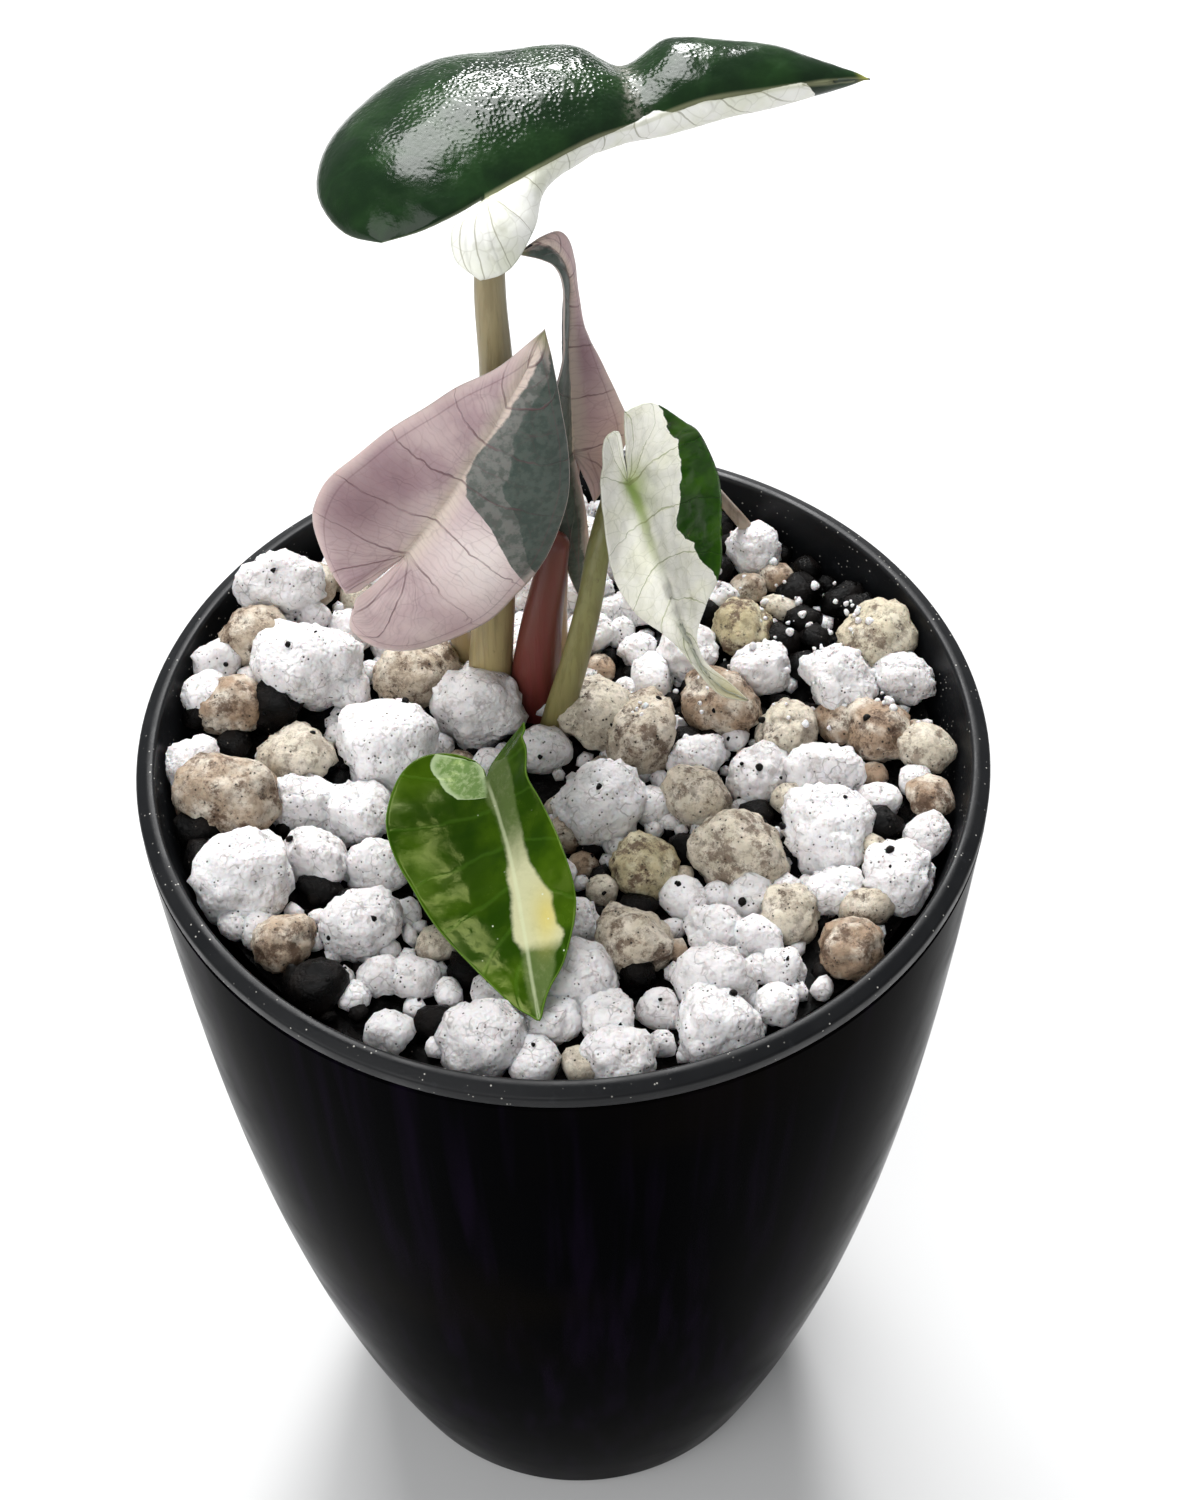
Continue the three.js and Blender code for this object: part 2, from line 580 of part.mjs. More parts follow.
function stem({ line, foot, top }, extra) {
  const curve = curveThrough(line);
  const frames = curve.computeFrenetFrames(STEM_RINGS, false);
  const positions = [...curve.getPointAt(0).toArray()];
  for (let i = 0; i <= STEM_RINGS; i++) {
    const share = i / STEM_RINGS;
    const radius = foot + (top - foot) * share + extra;
    const centre = curve.getPointAt(share);
    for (let k = 0; k < STEM_SIDES; k++) {
      const angle = (2 * Math.PI * k) / STEM_SIDES;
      const point = centre.clone();
      point.addScaledVector(frames.normals[i], radius * Math.cos(angle));
      point.addScaledVector(frames.binormals[i], radius * Math.sin(angle));
      positions.push(...point.toArray());
    }
  }
  positions.push(...curve.getPointAt(1).toArray());
  const index = [];
  const last = 1 + STEM_SIDES * (STEM_RINGS + 1);
  for (let k = 0; k < STEM_SIDES; k++) {
    const next = (k + 1) % STEM_SIDES;
    index.push(0, 1 + next, 1 + k);
    for (let i = 0; i < STEM_RINGS; i++) {
      const low = 1 + i * STEM_SIDES;
      const high = low + STEM_SIDES;
      index.push(low + k, low + next, high + next, low + k, high + next, high + k);
    }
    index.push(last, last - STEM_SIDES + k, last - STEM_SIDES + next);
  }
  const geometry = new THREE.BufferGeometry();
  geometry.setAttribute('position', new THREE.Float32BufferAttribute(positions, 3));
  geometry.setIndex(index);
  return solidOf(geometry);
}

function corm(extra) {
  const geometry = bareOf(new THREE.SphereGeometry(1, 14, 8));
  geometry.rotateX(Math.PI / 2);
  const radius = CORM_RADIUS + extra;
  const halfHeight = CORM_HEIGHT / 2 + extra;
  geometry.scale(radius, radius, halfHeight);
  geometry.translate(CORM_X, CORM_Y, CORM_TOP_Z - CORM_HEIGHT / 2);
  return solidOf(geometry);
}

// Putting it together

const object = new THREE.Group();
const part = (name, solid, colour, surface) => object.add(meshOf(name, solid, colour, surface));

part('outer_pot', outerPot(), COLOURS.pot, PLASTIC_SHINE);
part('liner_pot', linerPot(), COLOURS.liner, SATIN);

const leafCutters = [];
for (const [name, leaf] of Object.entries(LEAVES)) {
  part(name, blade(leaf, BLADE_THICKNESS), leaf.colour, LEAF_SHINE);
  leafCutters.push(blade(leaf, BLADE_THICKNESS + 2 * GAP));
}
const bladeSpace = union(leafCutters);

const STEM_COLOURS = { red_sheath: COLOURS.sheath, dry_root: COLOURS.root };
let stemSpace = null;
for (const [name, shape] of Object.entries(STEMS)) {
  let solid = stem(shape, 0).subtract(bladeSpace);
  if (stemSpace) solid = solid.subtract(stemSpace);
  part(name, bodiesOf(solid)[0], STEM_COLOURS[name] ?? COLOURS.stem, SATIN);
  const space = stem(shape, GAP);
  stemSpace = stemSpace ? stemSpace.add(space) : space;
}
part('corm', corm(0).subtract(stemSpace), COLOURS.corm, MATT);
const plantSpace = stemSpace.add(corm(GAP)).add(bladeSpace);

// The bed: three slabs, one for each colour of stone, with that colour's stones rooted in it
const WHITE = { places: [...WHITE_STONES, ...fillStones()], seed: 11 };
const TAN = { places: TAN_STONES, seed: 23, rootZ: PUMICE_LAYER_TOP_Z - 1 };
const BLACK = { places: BLACK_STONES, seed: 37, rootZ: MIX_TOP_Z - 1 };
const whiteSpace = stones(WHITE, GAP);
const tanSpace = stones(TAN, GAP);
const tanPostSpace = posts(TAN, GAP);
const blackPostSpace = posts(BLACK, GAP);
const topSlab = slab(PUMICE_LAYER_TOP_Z + GAP, bedHeight);
const slabSpace = slab(PUMICE_LAYER_TOP_Z, (x, y) => bedHeight(x, y) + GAP);

const perlite = topSlab.add(stones(WHITE, 0)).subtract(tanPostSpace).subtract(blackPostSpace);
const tan = stones(TAN, 0).subtract(whiteSpace).subtract(slabSpace).add(posts(TAN, 0));
const pumiceSlab = slab(MIX_TOP_Z + GAP, () => PUMICE_LAYER_TOP_Z);
const pumice = pumiceSlab.add(tan).subtract(blackPostSpace);
const black = stones(BLACK, 0).subtract(whiteSpace).subtract(tanSpace).subtract(slabSpace);
const mixSlab = slab(LINER_FLOOR_Z + LINER_WALL + GAP, () => MIX_TOP_Z);
const mix = mixSlab.add(black.add(posts(BLACK, 0)));
const bedSpace = potRoom().subtract(plantSpace);
part('perlite', bodiesOf(perlite.intersect(bedSpace))[0], COLOURS.perlite, MATT);
part('pumice', bodiesOf(pumice.intersect(bedSpace))[0], COLOURS.pumice, MATT);
part('charcoal_mix', bodiesOf(mix.intersect(bedSpace))[0], COLOURS.mix, MATT);

export default object;
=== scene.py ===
"""A young variegated alocasia in a glossy black double pot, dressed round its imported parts.

Rails, routes, places and sizes are in millimetres, as in the part's own source, and the meshes,
the lights and the floor are in metres. The origin is the centre of the pot's base, and +Z is up.
"""

import math

import bmesh
import bpy
import numpy as np
from mathutils import Matrix, Vector, noise


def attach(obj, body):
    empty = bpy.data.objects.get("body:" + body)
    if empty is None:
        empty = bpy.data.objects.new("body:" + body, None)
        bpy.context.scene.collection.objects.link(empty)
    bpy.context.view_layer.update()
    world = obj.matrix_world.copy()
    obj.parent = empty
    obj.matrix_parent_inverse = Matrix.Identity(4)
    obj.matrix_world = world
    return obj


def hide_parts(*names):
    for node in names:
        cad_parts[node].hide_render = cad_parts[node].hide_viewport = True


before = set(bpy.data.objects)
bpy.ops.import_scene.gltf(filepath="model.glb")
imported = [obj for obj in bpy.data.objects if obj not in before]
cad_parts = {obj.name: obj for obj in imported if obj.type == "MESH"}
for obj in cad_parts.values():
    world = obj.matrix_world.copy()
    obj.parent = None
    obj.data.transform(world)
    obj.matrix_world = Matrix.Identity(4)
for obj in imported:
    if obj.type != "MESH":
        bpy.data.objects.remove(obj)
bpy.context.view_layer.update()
MM = 0.001

# Camera, as the photograph was taken
CAMERA_PLACE = (4.31, -198.97, 366.89)
CAMERA_DIP = math.radians(49.645)
CAMERA_ROLL = math.radians(-0.8195)
CAMERA_LENS = 62.4
CAMERA_SENSOR = 36
CAMERA_CLIP = (0.01, 20)

# Square lights, each with its place and size in metres and its power in watts
LIGHTS = {
    "overhead": ((-0.1, 0.6, 1.05), 0.6, 14.4),
    "back": ((0.05, 0.8, 0.62), 0.24, 6.8),
    "front": ((-0.55, -0.75, 0.75), 1.2, 10.8),
}
LIGHT_AIM = (0, 0, 0.15)
WORLD_COLOUR = (0.96, 0.98, 1, 1)
WORLD_STRENGTH = 0.32
FLOOR_COLOUR = (0.64, 0.64, 0.64, 1)
FLOOR_HALF = 3

# Sizes of the two pots
POT_HEIGHT = 135
RIM_RADIUS = 50
RIM_Z = POT_HEIGHT - 2.1
TAPER = 6
BELLY = 13.3
BELLY_POWER = 2.6
OUTER_WALL = 1.8
OUTER_FLOOR = 2.5
FOOT_ROUNDING = 1.5
RIM_ROUNDING = 0.35
LIP_WIDTH = 2.3
LIP_RISE = 0.5
LIP_ROUNDING = 0.5
LIP_EDGE_ROUNDING = 0.2
CROWN_OUTER = 1.1
CROWN_INNER = 0.9
CROWN_DROP = 0.12
LINER_TOP_RADIUS = 47.5
LINER_FLOOR_RADIUS = 30
LINER_FLOOR_Z = 22
LINER_ROUNDING = 1
LINER_WALL = 1.4
LINER_NECK_Z = 128
DRAIN_HOLES = 6
DRAIN_HOLE_RADIUS = 3
DRAIN_RING_RADIUS = 18
DRILL_LENGTH = 6
GAP = 0.3

# The pots' meshes: how fine, the slivers to clear, and the angle that counts as an edge
POT_SIDES = 192
OUTSIDE_STEPS = 60
INSIDE_STEPS = 30
NECK_STEPS = 12
DRAIN_HOLE_SIDES = 32
SLIVER = 0.01
POT_EDGE_DEGREES = 40

# The bed
BED_Z = 126.8
BED_EDGE_RISE = 3
BED_RADIUS = 45
HEAP_RISE = 4
HEAP_X = -36
HEAP_Y = 24
HEAP_SPREAD = 10
WALL_MARGIN = 0.15

# The mix between the stones: its mesh, and the grains on its top
MIX_RINGS = 90
MIX_SIDES = 240
MIX_MARGIN = 0.2
MIX_DROP = 0.4
COARSE_GRAIN = 1.2
FINE_GRAIN = 0.5
MIX_EDGE_DEGREES = 70

# The stones. In the part, those smaller than FINELY_CUT_FROM have FEW_CORNERS.
STONE_SINK = 0.6
STONE_FLATTENING = 0.85
STONE_SWELL = 1.06
LEAST_STRETCH = 0.88
STRETCH_RANGE = 0.24
FINELY_CUT_FROM = 5
FEW_CORNERS = 12
MANY_CORNERS = 42
FINE_MESH_OVER = 3
CHIPS = 7
CHIP_SHARPNESS = 9
CHIP_REACH = 1.02
ROUND_REACH = 1.08
FILL_SEED = 5
FILL_TRIES = 500
FILL_MARGIN = 2
FILL_RADIUS = 2.6
FILL_RADIUS_RANGE = 1.2
FILL_SPACING = 0.85
GRIT_MARGIN = 0.5
GRIT_SPACING = 0.74
GRIT_SHAPE = (0.3, 0.24, 0.08)
CRUMB_MARGIN = 1.5
CRUMB_RADIUS = 0.22
CRUMB_RADIUS_RANGE = 0.4
CRUMB_LIFT = 0.3
CRUMB_CUT = 0.5
CRUMB_TINT = 0.3

# The larger stones of each colour: x, y and radius
WHITE_STONES = [
    (-35, 25, 4.6), (-42, 14.5, 2.8), (-42.5, 10, 3.1), (-31, 13.5, 5.7), (-26, 12, 2.7),
    (-10, 8.5, 5.3), (-43.5, -0.5, 3.3), (-21.5, 3, 5.7), (-31, -5, 3.8), (-24.5, -7, 4),
    (-29.5, -14, 3.6), (-21.5, -14.5, 3.1), (-36.5, -18, 5), (-2.5, 3.5, 3), (-23.5, -23.5, 4.2),
    (-20.5, -30.5, 2.4), (-16.5, -30.5, 2.7), (-19, -39, 2.6), (-8.5, -40, 4.3), (0.5, -31, 4.2),
    (5, -37, 3.2), (10.5, -35.5, 2.3), (17, -32, 4.2), (16.5, -39, 4.3), (6, -42.5, 3.6),
    (21.5, -26.5, 2.8), (24.5, -30.5, 2.4), (23.5, -36, 2.4), (4, -5.5, 4.7), (23, -1.5, 3.4),
    (31, -2, 3.9), (30, -11.5, 5), (37, -6, 2.3), (41.5, -12.5, 2.8), (38, -19, 4), (31, -20, 3.2),
    (24.5, 34.5, 3.2), (20, 27.5, 2.1), (9, 19.5, 2.4), (33, 12, 4.6),
]
TAN_STONES = [
    (-31, 26, 2.7), (-37.5, 17.5, 3.5), (-18.5, 14.5, 4.5), (-40, 8, 3.6), (-32, 1.5, 3.9),
    (-39.5, -5.5, 5.1), (-31.5, -26.5, 3.2), (4.5, 8.5, 4.4), (9.5, 5.5, 4.7), (19, 9.5, 4.2),
    (16, -4.5, 3.7), (20, -13.5, 4.6), (9, -15, 3.6), (8, -26, 4), (22, 21.5, 3.6),
    (23.5, 28.5, 2), (38.5, 18.5, 4.2), (27, 5.5, 3.4), (33, 6.5, 2.7), (38, 3.5, 3.8),
    (43, 0.5, 3), (43, -6.5, 2.7), (25.5, -23, 3.2), (34.5, -22.5, 2.8), (32, -29, 3.4),
]
BLACK_STONES = [
    (-35, 8, 3.4), (-44, 7, 2), (-39.5, 3, 2), (-42, -9.5, 2.9), (-41, -15, 2.9), (-28, -18, 2.3),
    (-27.5, -32, 3.1), (-14.5, -36.5, 2.2), (37, -10, 2.3), (14, -11.5, 2), (8, -30, 2),
    (29.5, 27.5, 2.5), (34.5, 25.5, 2.5), (27, 20, 2.5), (31.5, 19.5, 2.2), (37, 24, 2.5),
    (22.5, -7, 2), (8.5, -20, 2), (-14.5, -19.5, 2), (-11, -29, 2), (-25, -20, 2),
]

# The stems: a line from the corm to the blade, the radius at its foot and its top, the colours
# at its foot and its top and of its streaks, and how strong its flecks are
STEMS = {
    "top_leaf_stem": {
        "line": [(-8.4, 14, 114), (-9, 13.6, 128), (-7.9, 13, 145), (-6.9, 13.5, 161),
                 (-6.3, 14.5, 178), (-6.6, 15.4, 190), (-6, 15.8, 201.2)],
        "foot": 3, "top": 1.5, "slot": "stem", "flecks": 0.4,
        "colours": [(158, 142, 98), (150, 138, 104), (118, 104, 74)],
    },
    "pink_leaf_stem": {
        "line": [(-9.5, 18, 114), (-11.5, 19, 126), (-14, 14.5, 145), (-16, 7.5, 157.5),
                 (-15.9, 4, 163.2)],
        "foot": 1.5, "top": 1.1, "slot": "stem", "flecks": 0.4,
        "colours": [(150, 138, 92), (168, 140, 128), (120, 100, 84)],
    },
    "back_leaf_stem": {
        "line": [(-2.6, 17, 114), (-1, 19.4, 128), (-0.6, 18.8, 140), (0, 18.6, 149),
                 (1.2, 18.4, 159), (1.9, 16.7, 166.6)],
        "foot": 1.5, "top": 1, "slot": "stem", "flecks": 0.3,
        "colours": [(158, 140, 98), (176, 138, 124), (132, 98, 88)],
    },
    "white_leaf_stem": {
        "line": [(-2.6, 12, 114), (-0.9, 8.9, 128), (1.5, 9, 138.7), (3.4, 10.6, 147.4),
                 (4.6, 12.8, 154), (6.4, 15.4, 159.6), (8, 14, 163.4)],
        "foot": 2.1, "top": 1.2, "slot": "stem", "flecks": 0.4,
        "colours": [(132, 122, 78), (128, 128, 82), (104, 98, 56)],
    },
    "front_leaf_stem": {
        "line": [(-7.5, 9, 114), (-8.4, 3, 121), (-9, -4, 131), (-8.6, -9.6, 138.2)],
        "foot": 1.4, "top": 1, "slot": "stem", "flecks": 0.2,
        "colours": [(128, 142, 84), (120, 150, 74), (84, 104, 50)],
    },
    "red_sheath": {
        "line": [(-4.2, 13.8, 114), (-3.6, 13, 128), (-2.6, 12.2, 140), (-1.2, 11.8, 150),
                 (-0.2, 11.6, 157)],
        "foot": 4.2, "top": 1.5, "slot": "sheath", "flecks": 0.3,
        "colours": [(96, 36, 31), (106, 60, 51), (112, 46, 46)],
    },
    "dry_root": {
        "line": [(24.6, 35.6, 124), (24.4, 35.8, 131), (20, 35.2, 139.4), (16.6, 33.6, 146)],
        "foot": 1, "top": 0.6, "slot": "root", "flecks": 0.6,
        "colours": [(176, 160, 142), (150, 136, 122), (104, 88, 74)],
    },
}
STEM_SIDES = 24
STEM_RINGS = 70
STEM_END = 0.03
STEM_EDGE_DEGREES = 60

# The leaves: for each blade the midrib and, for each half, the notch edge from the lobe's end to
# the midrib, and the margin from the lobe's end to the tip. The ends that they share with the
# midrib and with each other are given once.
LEAVES = {
    "top_leaf": {
        "midrib": [
            (-6.5, 15, 202), (-1, 19.5, 202.3), (5, 24.5, 202.2), (9.5, 27.5, 201.6),
            (16, 30.5, 202.2), (22.5, 33.5, 201.2), (29, 36.5, 200), (35, 40, 198)],
        "left": {
            "shoulder": 5, "arch": 0.14,
            "notch": [(-17, 10.5, 200), (-13, 11, 201), (-9.8, 12, 202)],
            "margin": [
                (-21, 13.5, 198.8), (-24, 19, 199.5), (-23.5, 25, 201), (-20, 31, 202),
                (-14, 36, 203), (-6, 39, 203), (2, 40, 202.5), (7.5, 39.5, 200.5),
                (13, 40.5, 203), (20, 41, 202.5), (27, 41, 200.5)],
        },
        "right": {
            "shoulder": 2, "arch": 0.14,
            "notch": [(-7.2, 9.6, 195.8), (-9.6, 9.6, 198.5), (-9.8, 11, 201.3)],
            "margin": [
                (-4.2, 10, 196.8), (-2, 13.6, 198.4), (-0.6, 20.5, 198.8), (2.4, 26, 198.6),
                (10, 30, 198), (18, 33.2, 197.8), (26, 37.2, 197.4)],
        },
    },
    "pink_leaf": {
        "midrib": [
            (-16.6, 3, 163), (-12.7, 4.5, 168), (-9.3, 6.2, 173), (-6, 8, 178), (-3.2, 9.6, 183),
            (-0.8, 11, 188)],
        "left": {
            "shoulder": 2, "arch": 0.08,
            "notch": [(-23.6, 1.2, 158.8), (-22.4, 1.2, 159), (-21, 1.6, 159.8)],
            "margin": [
                (-25.4, 1.6, 163.5), (-26.3, 2.8, 170.3), (-24, 4, 174), (-18.5, 6, 177.8),
                (-12, 8, 181.5), (-5.8, 9.6, 184.2)],
        },
        "right": {
            "shoulder": 4, "arch": 0.1,
            "notch": [(-22.8, 0, 157.5), (-22.4, 0.6, 158.6), (-20.8, 1.5, 159.5)],
            "margin": [
                (-23.4, 0, 154.5), (-20.3, 0, 151), (-16.5, 0.5, 150), (-9, 2.3, 152.3),
                (-4.2, 3.6, 156.5), (0.3, 5.4, 164.7), (1.4, 7, 171), (0.6, 9, 179.5)],
        },
    },
    "back_leaf": {
        "midrib": [
            (1.8, 16, 165.6), (1.6, 17.4, 172.5), (1.4, 18.6, 179), (1.5, 19.6, 184),
            (1.7, 19.8, 187.5), (0.6, 19.2, 191.5), (-1.2, 18.4, 193.4), (-3.8, 17.6, 192.6)],
        "left": {
            "shoulder": 3, "arch": 0.05,
            "notch": [(2.6, 15.4, 141), (3.3, 15.6, 148), (3.1, 15.6, 156)],
            "margin": [
                (0.8, 14.6, 148), (-0.4, 13.6, 158), (-1, 13.2, 167), (0, 14.2, 175.5),
                (1, 16.4, 181), (1.1, 18, 185.5), (0.6, 18.2, 189.8), (-1, 17.8, 191.6)],
        },
        "right": {
            "shoulder": 2, "arch": 0.06,
            "notch": [(4, 15.8, 158), (3.4, 15.8, 160.5), (2.6, 15.8, 163)],
            "margin": [
                (6.2, 17, 161.5), (8, 18.6, 166.5), (7, 19.6, 170.5), (5, 20, 175.5),
                (3.4, 20.2, 180), (2.6, 20.4, 185), (2.4, 20.6, 189), (0.8, 20, 193.6)],
        },
    },
    "white_leaf": {
        "midrib": [
            (7.9, 13.2, 163.4), (9.6, 12, 159.3), (11, 11, 154.2), (12.3, 10.5, 150.3),
            (13.7, 10, 144.6), (15, 9.4, 140.9), (16.5, 8.1, 138), (19.1, 6.9, 135.6),
            (22.1, 6.4, 134)],
        "left": {
            "shoulder": 2, "arch": 0.1,
            "notch": [(6.3, 11.8, 172.6), (7, 13.2, 171), (7.4, 13.4, 167.5)],
            "margin": [
                (5.2, 11.6, 171), (5, 11, 166.5), (5.1, 10.2, 160.5), (6.1, 9.4, 152.6),
                (7.9, 9.2, 147.8), (9.6, 9.2, 145.2), (12, 9.2, 142.6), (14.2, 8.6, 140.4),
                (15.9, 7.7, 138.1), (18.6, 6.2, 135.5)],
        },
        "right": {
            "shoulder": 3, "arch": 0.1,
            "notch": [(7.6, 14.4, 173), (7.6, 14, 171), (7.7, 13.7, 167.5)],
            "margin": [
                (10.5, 16.4, 172.5), (14, 18.4, 168.2), (16.4, 19.8, 164.5), (18, 20.2, 159.5),
                (18.9, 19.4, 153.5), (19.1, 18, 149), (18.4, 15.6, 145.4), (17.2, 12.8, 143.6),
                (15.9, 10.8, 141), (16.9, 9, 138.4), (19.6, 7.8, 136)],
        },
    },
    "front_leaf": {
        "midrib": [
            (-8.8, -8.9, 138.8), (-7.5, -13.8, 139), (-6.2, -18.7, 138.5), (-5.2, -23.9, 138),
            (-4.5, -28, 137), (-3.9, -31.9, 136), (-3.3, -36, 135.2), (-2.7, -39.5, 134.4)],
        "left": {
            "shoulder": 3, "arch": 0.1,
            "notch": [(-10.1, -6, 138.2), (-9.6, -6.6, 138.3), (-9, -7.6, 138.5)],
            "margin": [
                (-12.9, -4.6, 138), (-16.4, -5.3, 137.8), (-18.8, -7.3, 137.4),
                (-20.1, -12.7, 136.7), (-19.4, -17.2, 136.1), (-16.8, -22.6, 135.6),
                (-14.5, -26.8, 135.2), (-11.3, -31.1, 135), (-8.3, -34.6, 134.7),
                (-5, -38, 134.4)],
        },
        "right": {
            "shoulder": 1, "arch": 0.06,
            "notch": [(-4.2, -6.3, 145.2), (-6.1, -6.6, 142.2), (-7.8, -7.4, 139.8)],
            "margin": [
                (-4.2, -8.8, 144.2), (-3.9, -11.9, 143), (-2.5, -15.1, 142.1),
                (-0.1, -20.6, 141), (1.2, -25.1, 139.6), (1.3, -29, 138.4), (0.1, -33.5, 137),
                (-1.4, -36.2, 136)],
        },
    },
}

# Markings and surface of each leaf. A zone lies between two lines, and each point of a line is
# (place along the leaf, place across it): along runs from -0.4 at the lobes' ends through 0 at
# the stem to 1 at the tip, and across from -1 at the right margin to 1 at the left. A spot is
# (place along, place across, length, breadth).
RIGHT_SIDE = [(0, -2)]
LEFT_SIDE = [(0, 2)]
LOOKS = {
    "top_leaf": {
        "slot": "leaf_green", "facing": 1, "veins": 7, "quilt": 0.06, "crumple": 0.12,
        "crumple_rate": 0.35, "crease": 0.25,
        "zones": {
            "cream": (RIGHT_SIDE, [
                (0, 0), (0.3, -0.02), (0.41, 0.03), (0.47, 0.07), (0.53, -0.06), (0.58, -0.02),
                (0.62, -0.06), (0.69, -0.02), (0.76, 0.03), (0.82, 0.06), (0.86, -0.4), (0.9, -2)]),
        },
        "spots": {"crease": (0.42, 0.55, 0.03, 0.7), "wet": (0.25, 0.6, 0.3, 0.45)},
    },
    "pink_leaf": {
        "slot": "leaf_pink", "facing": 1, "veins": 6, "quilt": 0.12, "crumple": 0.12,
        "crumple_rate": 0.3, "crease": 0.1,
        "zones": {
            "fringe": (RIGHT_SIDE, [
                (0.15, -2), (0.2, -1.05), (0.22, -1), (0.24, -0.73), (0.27, -0.53), (0.29, -0.4),
                (0.3, -0.23), (0.31, -0.1), (0.36, -0.03), (0.42, 0), (0.48, 0), (0.56, -0.03),
                (0.64, -0.07), (0.72, -0.07), (0.79, -0.17), (0.85, -0.2), (0.93, -0.35),
                (1, -0.5)]),
            "green": (RIGHT_SIDE, [
                (0.2, -2), (0.26, -1), (0.27, -0.87), (0.3, -0.77), (0.33, -0.67), (0.36, -0.57),
                (0.38, -0.47), (0.39, -0.37), (0.42, -0.3), (0.47, -0.33), (0.53, -0.27),
                (0.6, -0.23), (0.67, -0.23), (0.74, -0.33), (0.82, -0.5), (0.94, -0.9)]),
        },
        "spots": {"dark_patch": (0.14, 0.68, 0.27, 0.46), "pale_patch": (0.18, -0.5, 0.16, 0.4)},
    },
    "back_leaf": {
        "slot": "leaf_pink", "facing": 1, "veins": 7, "quilt": 0.08, "crumple": 0.08,
        "crumple_rate": 0.4, "crease": 0.1,
        "zones": {"fringe": ([(0, 0.1)], LEFT_SIDE), "green": ([(0, 0.3)], LEFT_SIDE)},
        "spots": {"dark_patch": (0.3, 0, 0.2, 1), "pale_patch": (-0.1, -0.5, 0.15, 0.8)},
    },
    "white_leaf": {
        "slot": "leaf_white", "facing": -1, "veins": 7, "quilt": 0.15, "crumple": 0.3,
        "crumple_rate": 0.5, "crease": 0.15,
        "zones": {
            "green": (RIGHT_SIDE, [
                (-0.3, -1.2), (-0.2, -0.9), (-0.14, -0.77), (-0.08, -0.73), (-0.03, -0.77),
                (0.03, -0.7), (0.07, -0.67), (0.1, -0.63), (0.12, -0.57), (0.16, -0.53),
                (0.18, -0.5), (0.2, -0.43), (0.23, -0.43), (0.27, -0.5), (0.3, -0.63),
                (0.33, -0.63), (0.38, -0.73), (0.41, -0.87), (0.43, -0.93), (0.47, -1.05),
                (0.5, -2)]),
        },
        # The curl spot marks the curled lobe, which is greyed there as painted shade.
        "spots": {"heart": (0.02, 0, 0.1, 0.25), "curl_shade": (-0.2, 0.8, 0.15, 0.5)},
    },
    "front_leaf": {
        "slot": "leaf_light_green", "facing": -1, "veins": 7, "quilt": 0.05, "crumple": 0.15,
        "crumple_rate": 0.3, "crease": 0.25,
        "zones": {
            "sector": (
                [(-0.4, 0.3), (-0.12, 0), (-0.05, -0.5), (0.07, -0.57), (0.13, -0.57),
                 (0.2, -0.47), (0.27, -0.4), (0.31, -0.33), (0.38, -0.33), (0.46, -0.47),
                 (0.5, -0.57), (0.56, -0.57), (0.62, -0.63), (0.66, -0.83), (0.7, -0.8),
                 (0.72, -0.7), (0.82, -0.87), (0.9, -0.93), (0.98, -0.57)],
                [(-0.4, -0.3), (-0.03, 0), (0.1, 0.07), (0.18, 0.03), (0.33, 0.03), (0.4, 0.07),
                 (0.48, 0.07), (0.56, 0.13), (0.63, 0.17), (0.69, 0.1), (0.77, 0.17),
                 (0.84, 0.23), (0.94, 0.47), (1, 0.6)]),
            "patch": (
                [(0, 0)],
                [(-0.36, -1), (-0.3, 0.6), (-0.2, 0.97), (-0.09, 0.77), (-0.02, 0.6), (0.04, 0.47),
                 (0.08, 0.33), (0.085, 0.23), (0.09, 0.1), (0.1, -0.5)]),
        },
        "spots": {"yellow": (0.58, -0.45, 0.1, 0.25), "deep": (0.3, 0.4, 0.25, 0.3)},
    },
}

# The blades' meshes and relief
LOBE_ROWS = 26
BLADE_ROWS = 90
BLADE_COLUMNS = 30
COARSE_ROWS = 15
MERGE_STEPS_PER_MM = 1e3
EDGE_WAVE = 0.25
EDGE_WAVES = 5
FULL_WAVE_WIDTH = 6
BLADE_THICKNESS = 0.42
EDGE_THINNING = 0.55
THIN_EDGE_WIDTH = 0.5
RIB_DEPTH = 0.5
RIB_WIDTH = 0.55
CREASE_WIDTH = 0.7
RELIEF_FADE = 2.5
QUILT_FADE = 1.5
LOBE_SPAN = 0.4
LOBE_VEINS = 2.6
VEIN_SWEEP = 0.22


# Helpers for meshes


def add_object(name, data):
    made = bpy.data.objects.new(name, data)
    bpy.context.scene.collection.objects.link(made)
    return made


def make_piece(name, points_mm, faces, finish, slot, replaced=()):
    """A mesh object from points in millimetres, riding on the part's one body."""
    mesh = bpy.data.meshes.new(name)
    mesh.from_pydata([tuple(point) for point in np.asarray(points_mm) * MM], [], faces)
    mesh.validate()
    mesh.materials.append(finish.material)
    mesh.polygons.foreach_set("use_smooth", [True] * len(mesh.polygons))
    piece = add_object(name, mesh)
    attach(piece, "root")
    if replaced:
        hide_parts(*replaced)
    return piece


def give(piece, name, values):
    """Stores one number for each vertex, for the piece's material to read."""
    attribute = piece.data.attributes.new(name, "FLOAT", "POINT")
    attribute.data.foreach_set("value", np.asarray(values, np.float32))


def rework(mesh, change):
    """Makes a change to a mesh in its editable form."""
    solid = bmesh.new()
    solid.from_mesh(mesh)
    change(solid)
    solid.to_mesh(mesh)
    solid.free()


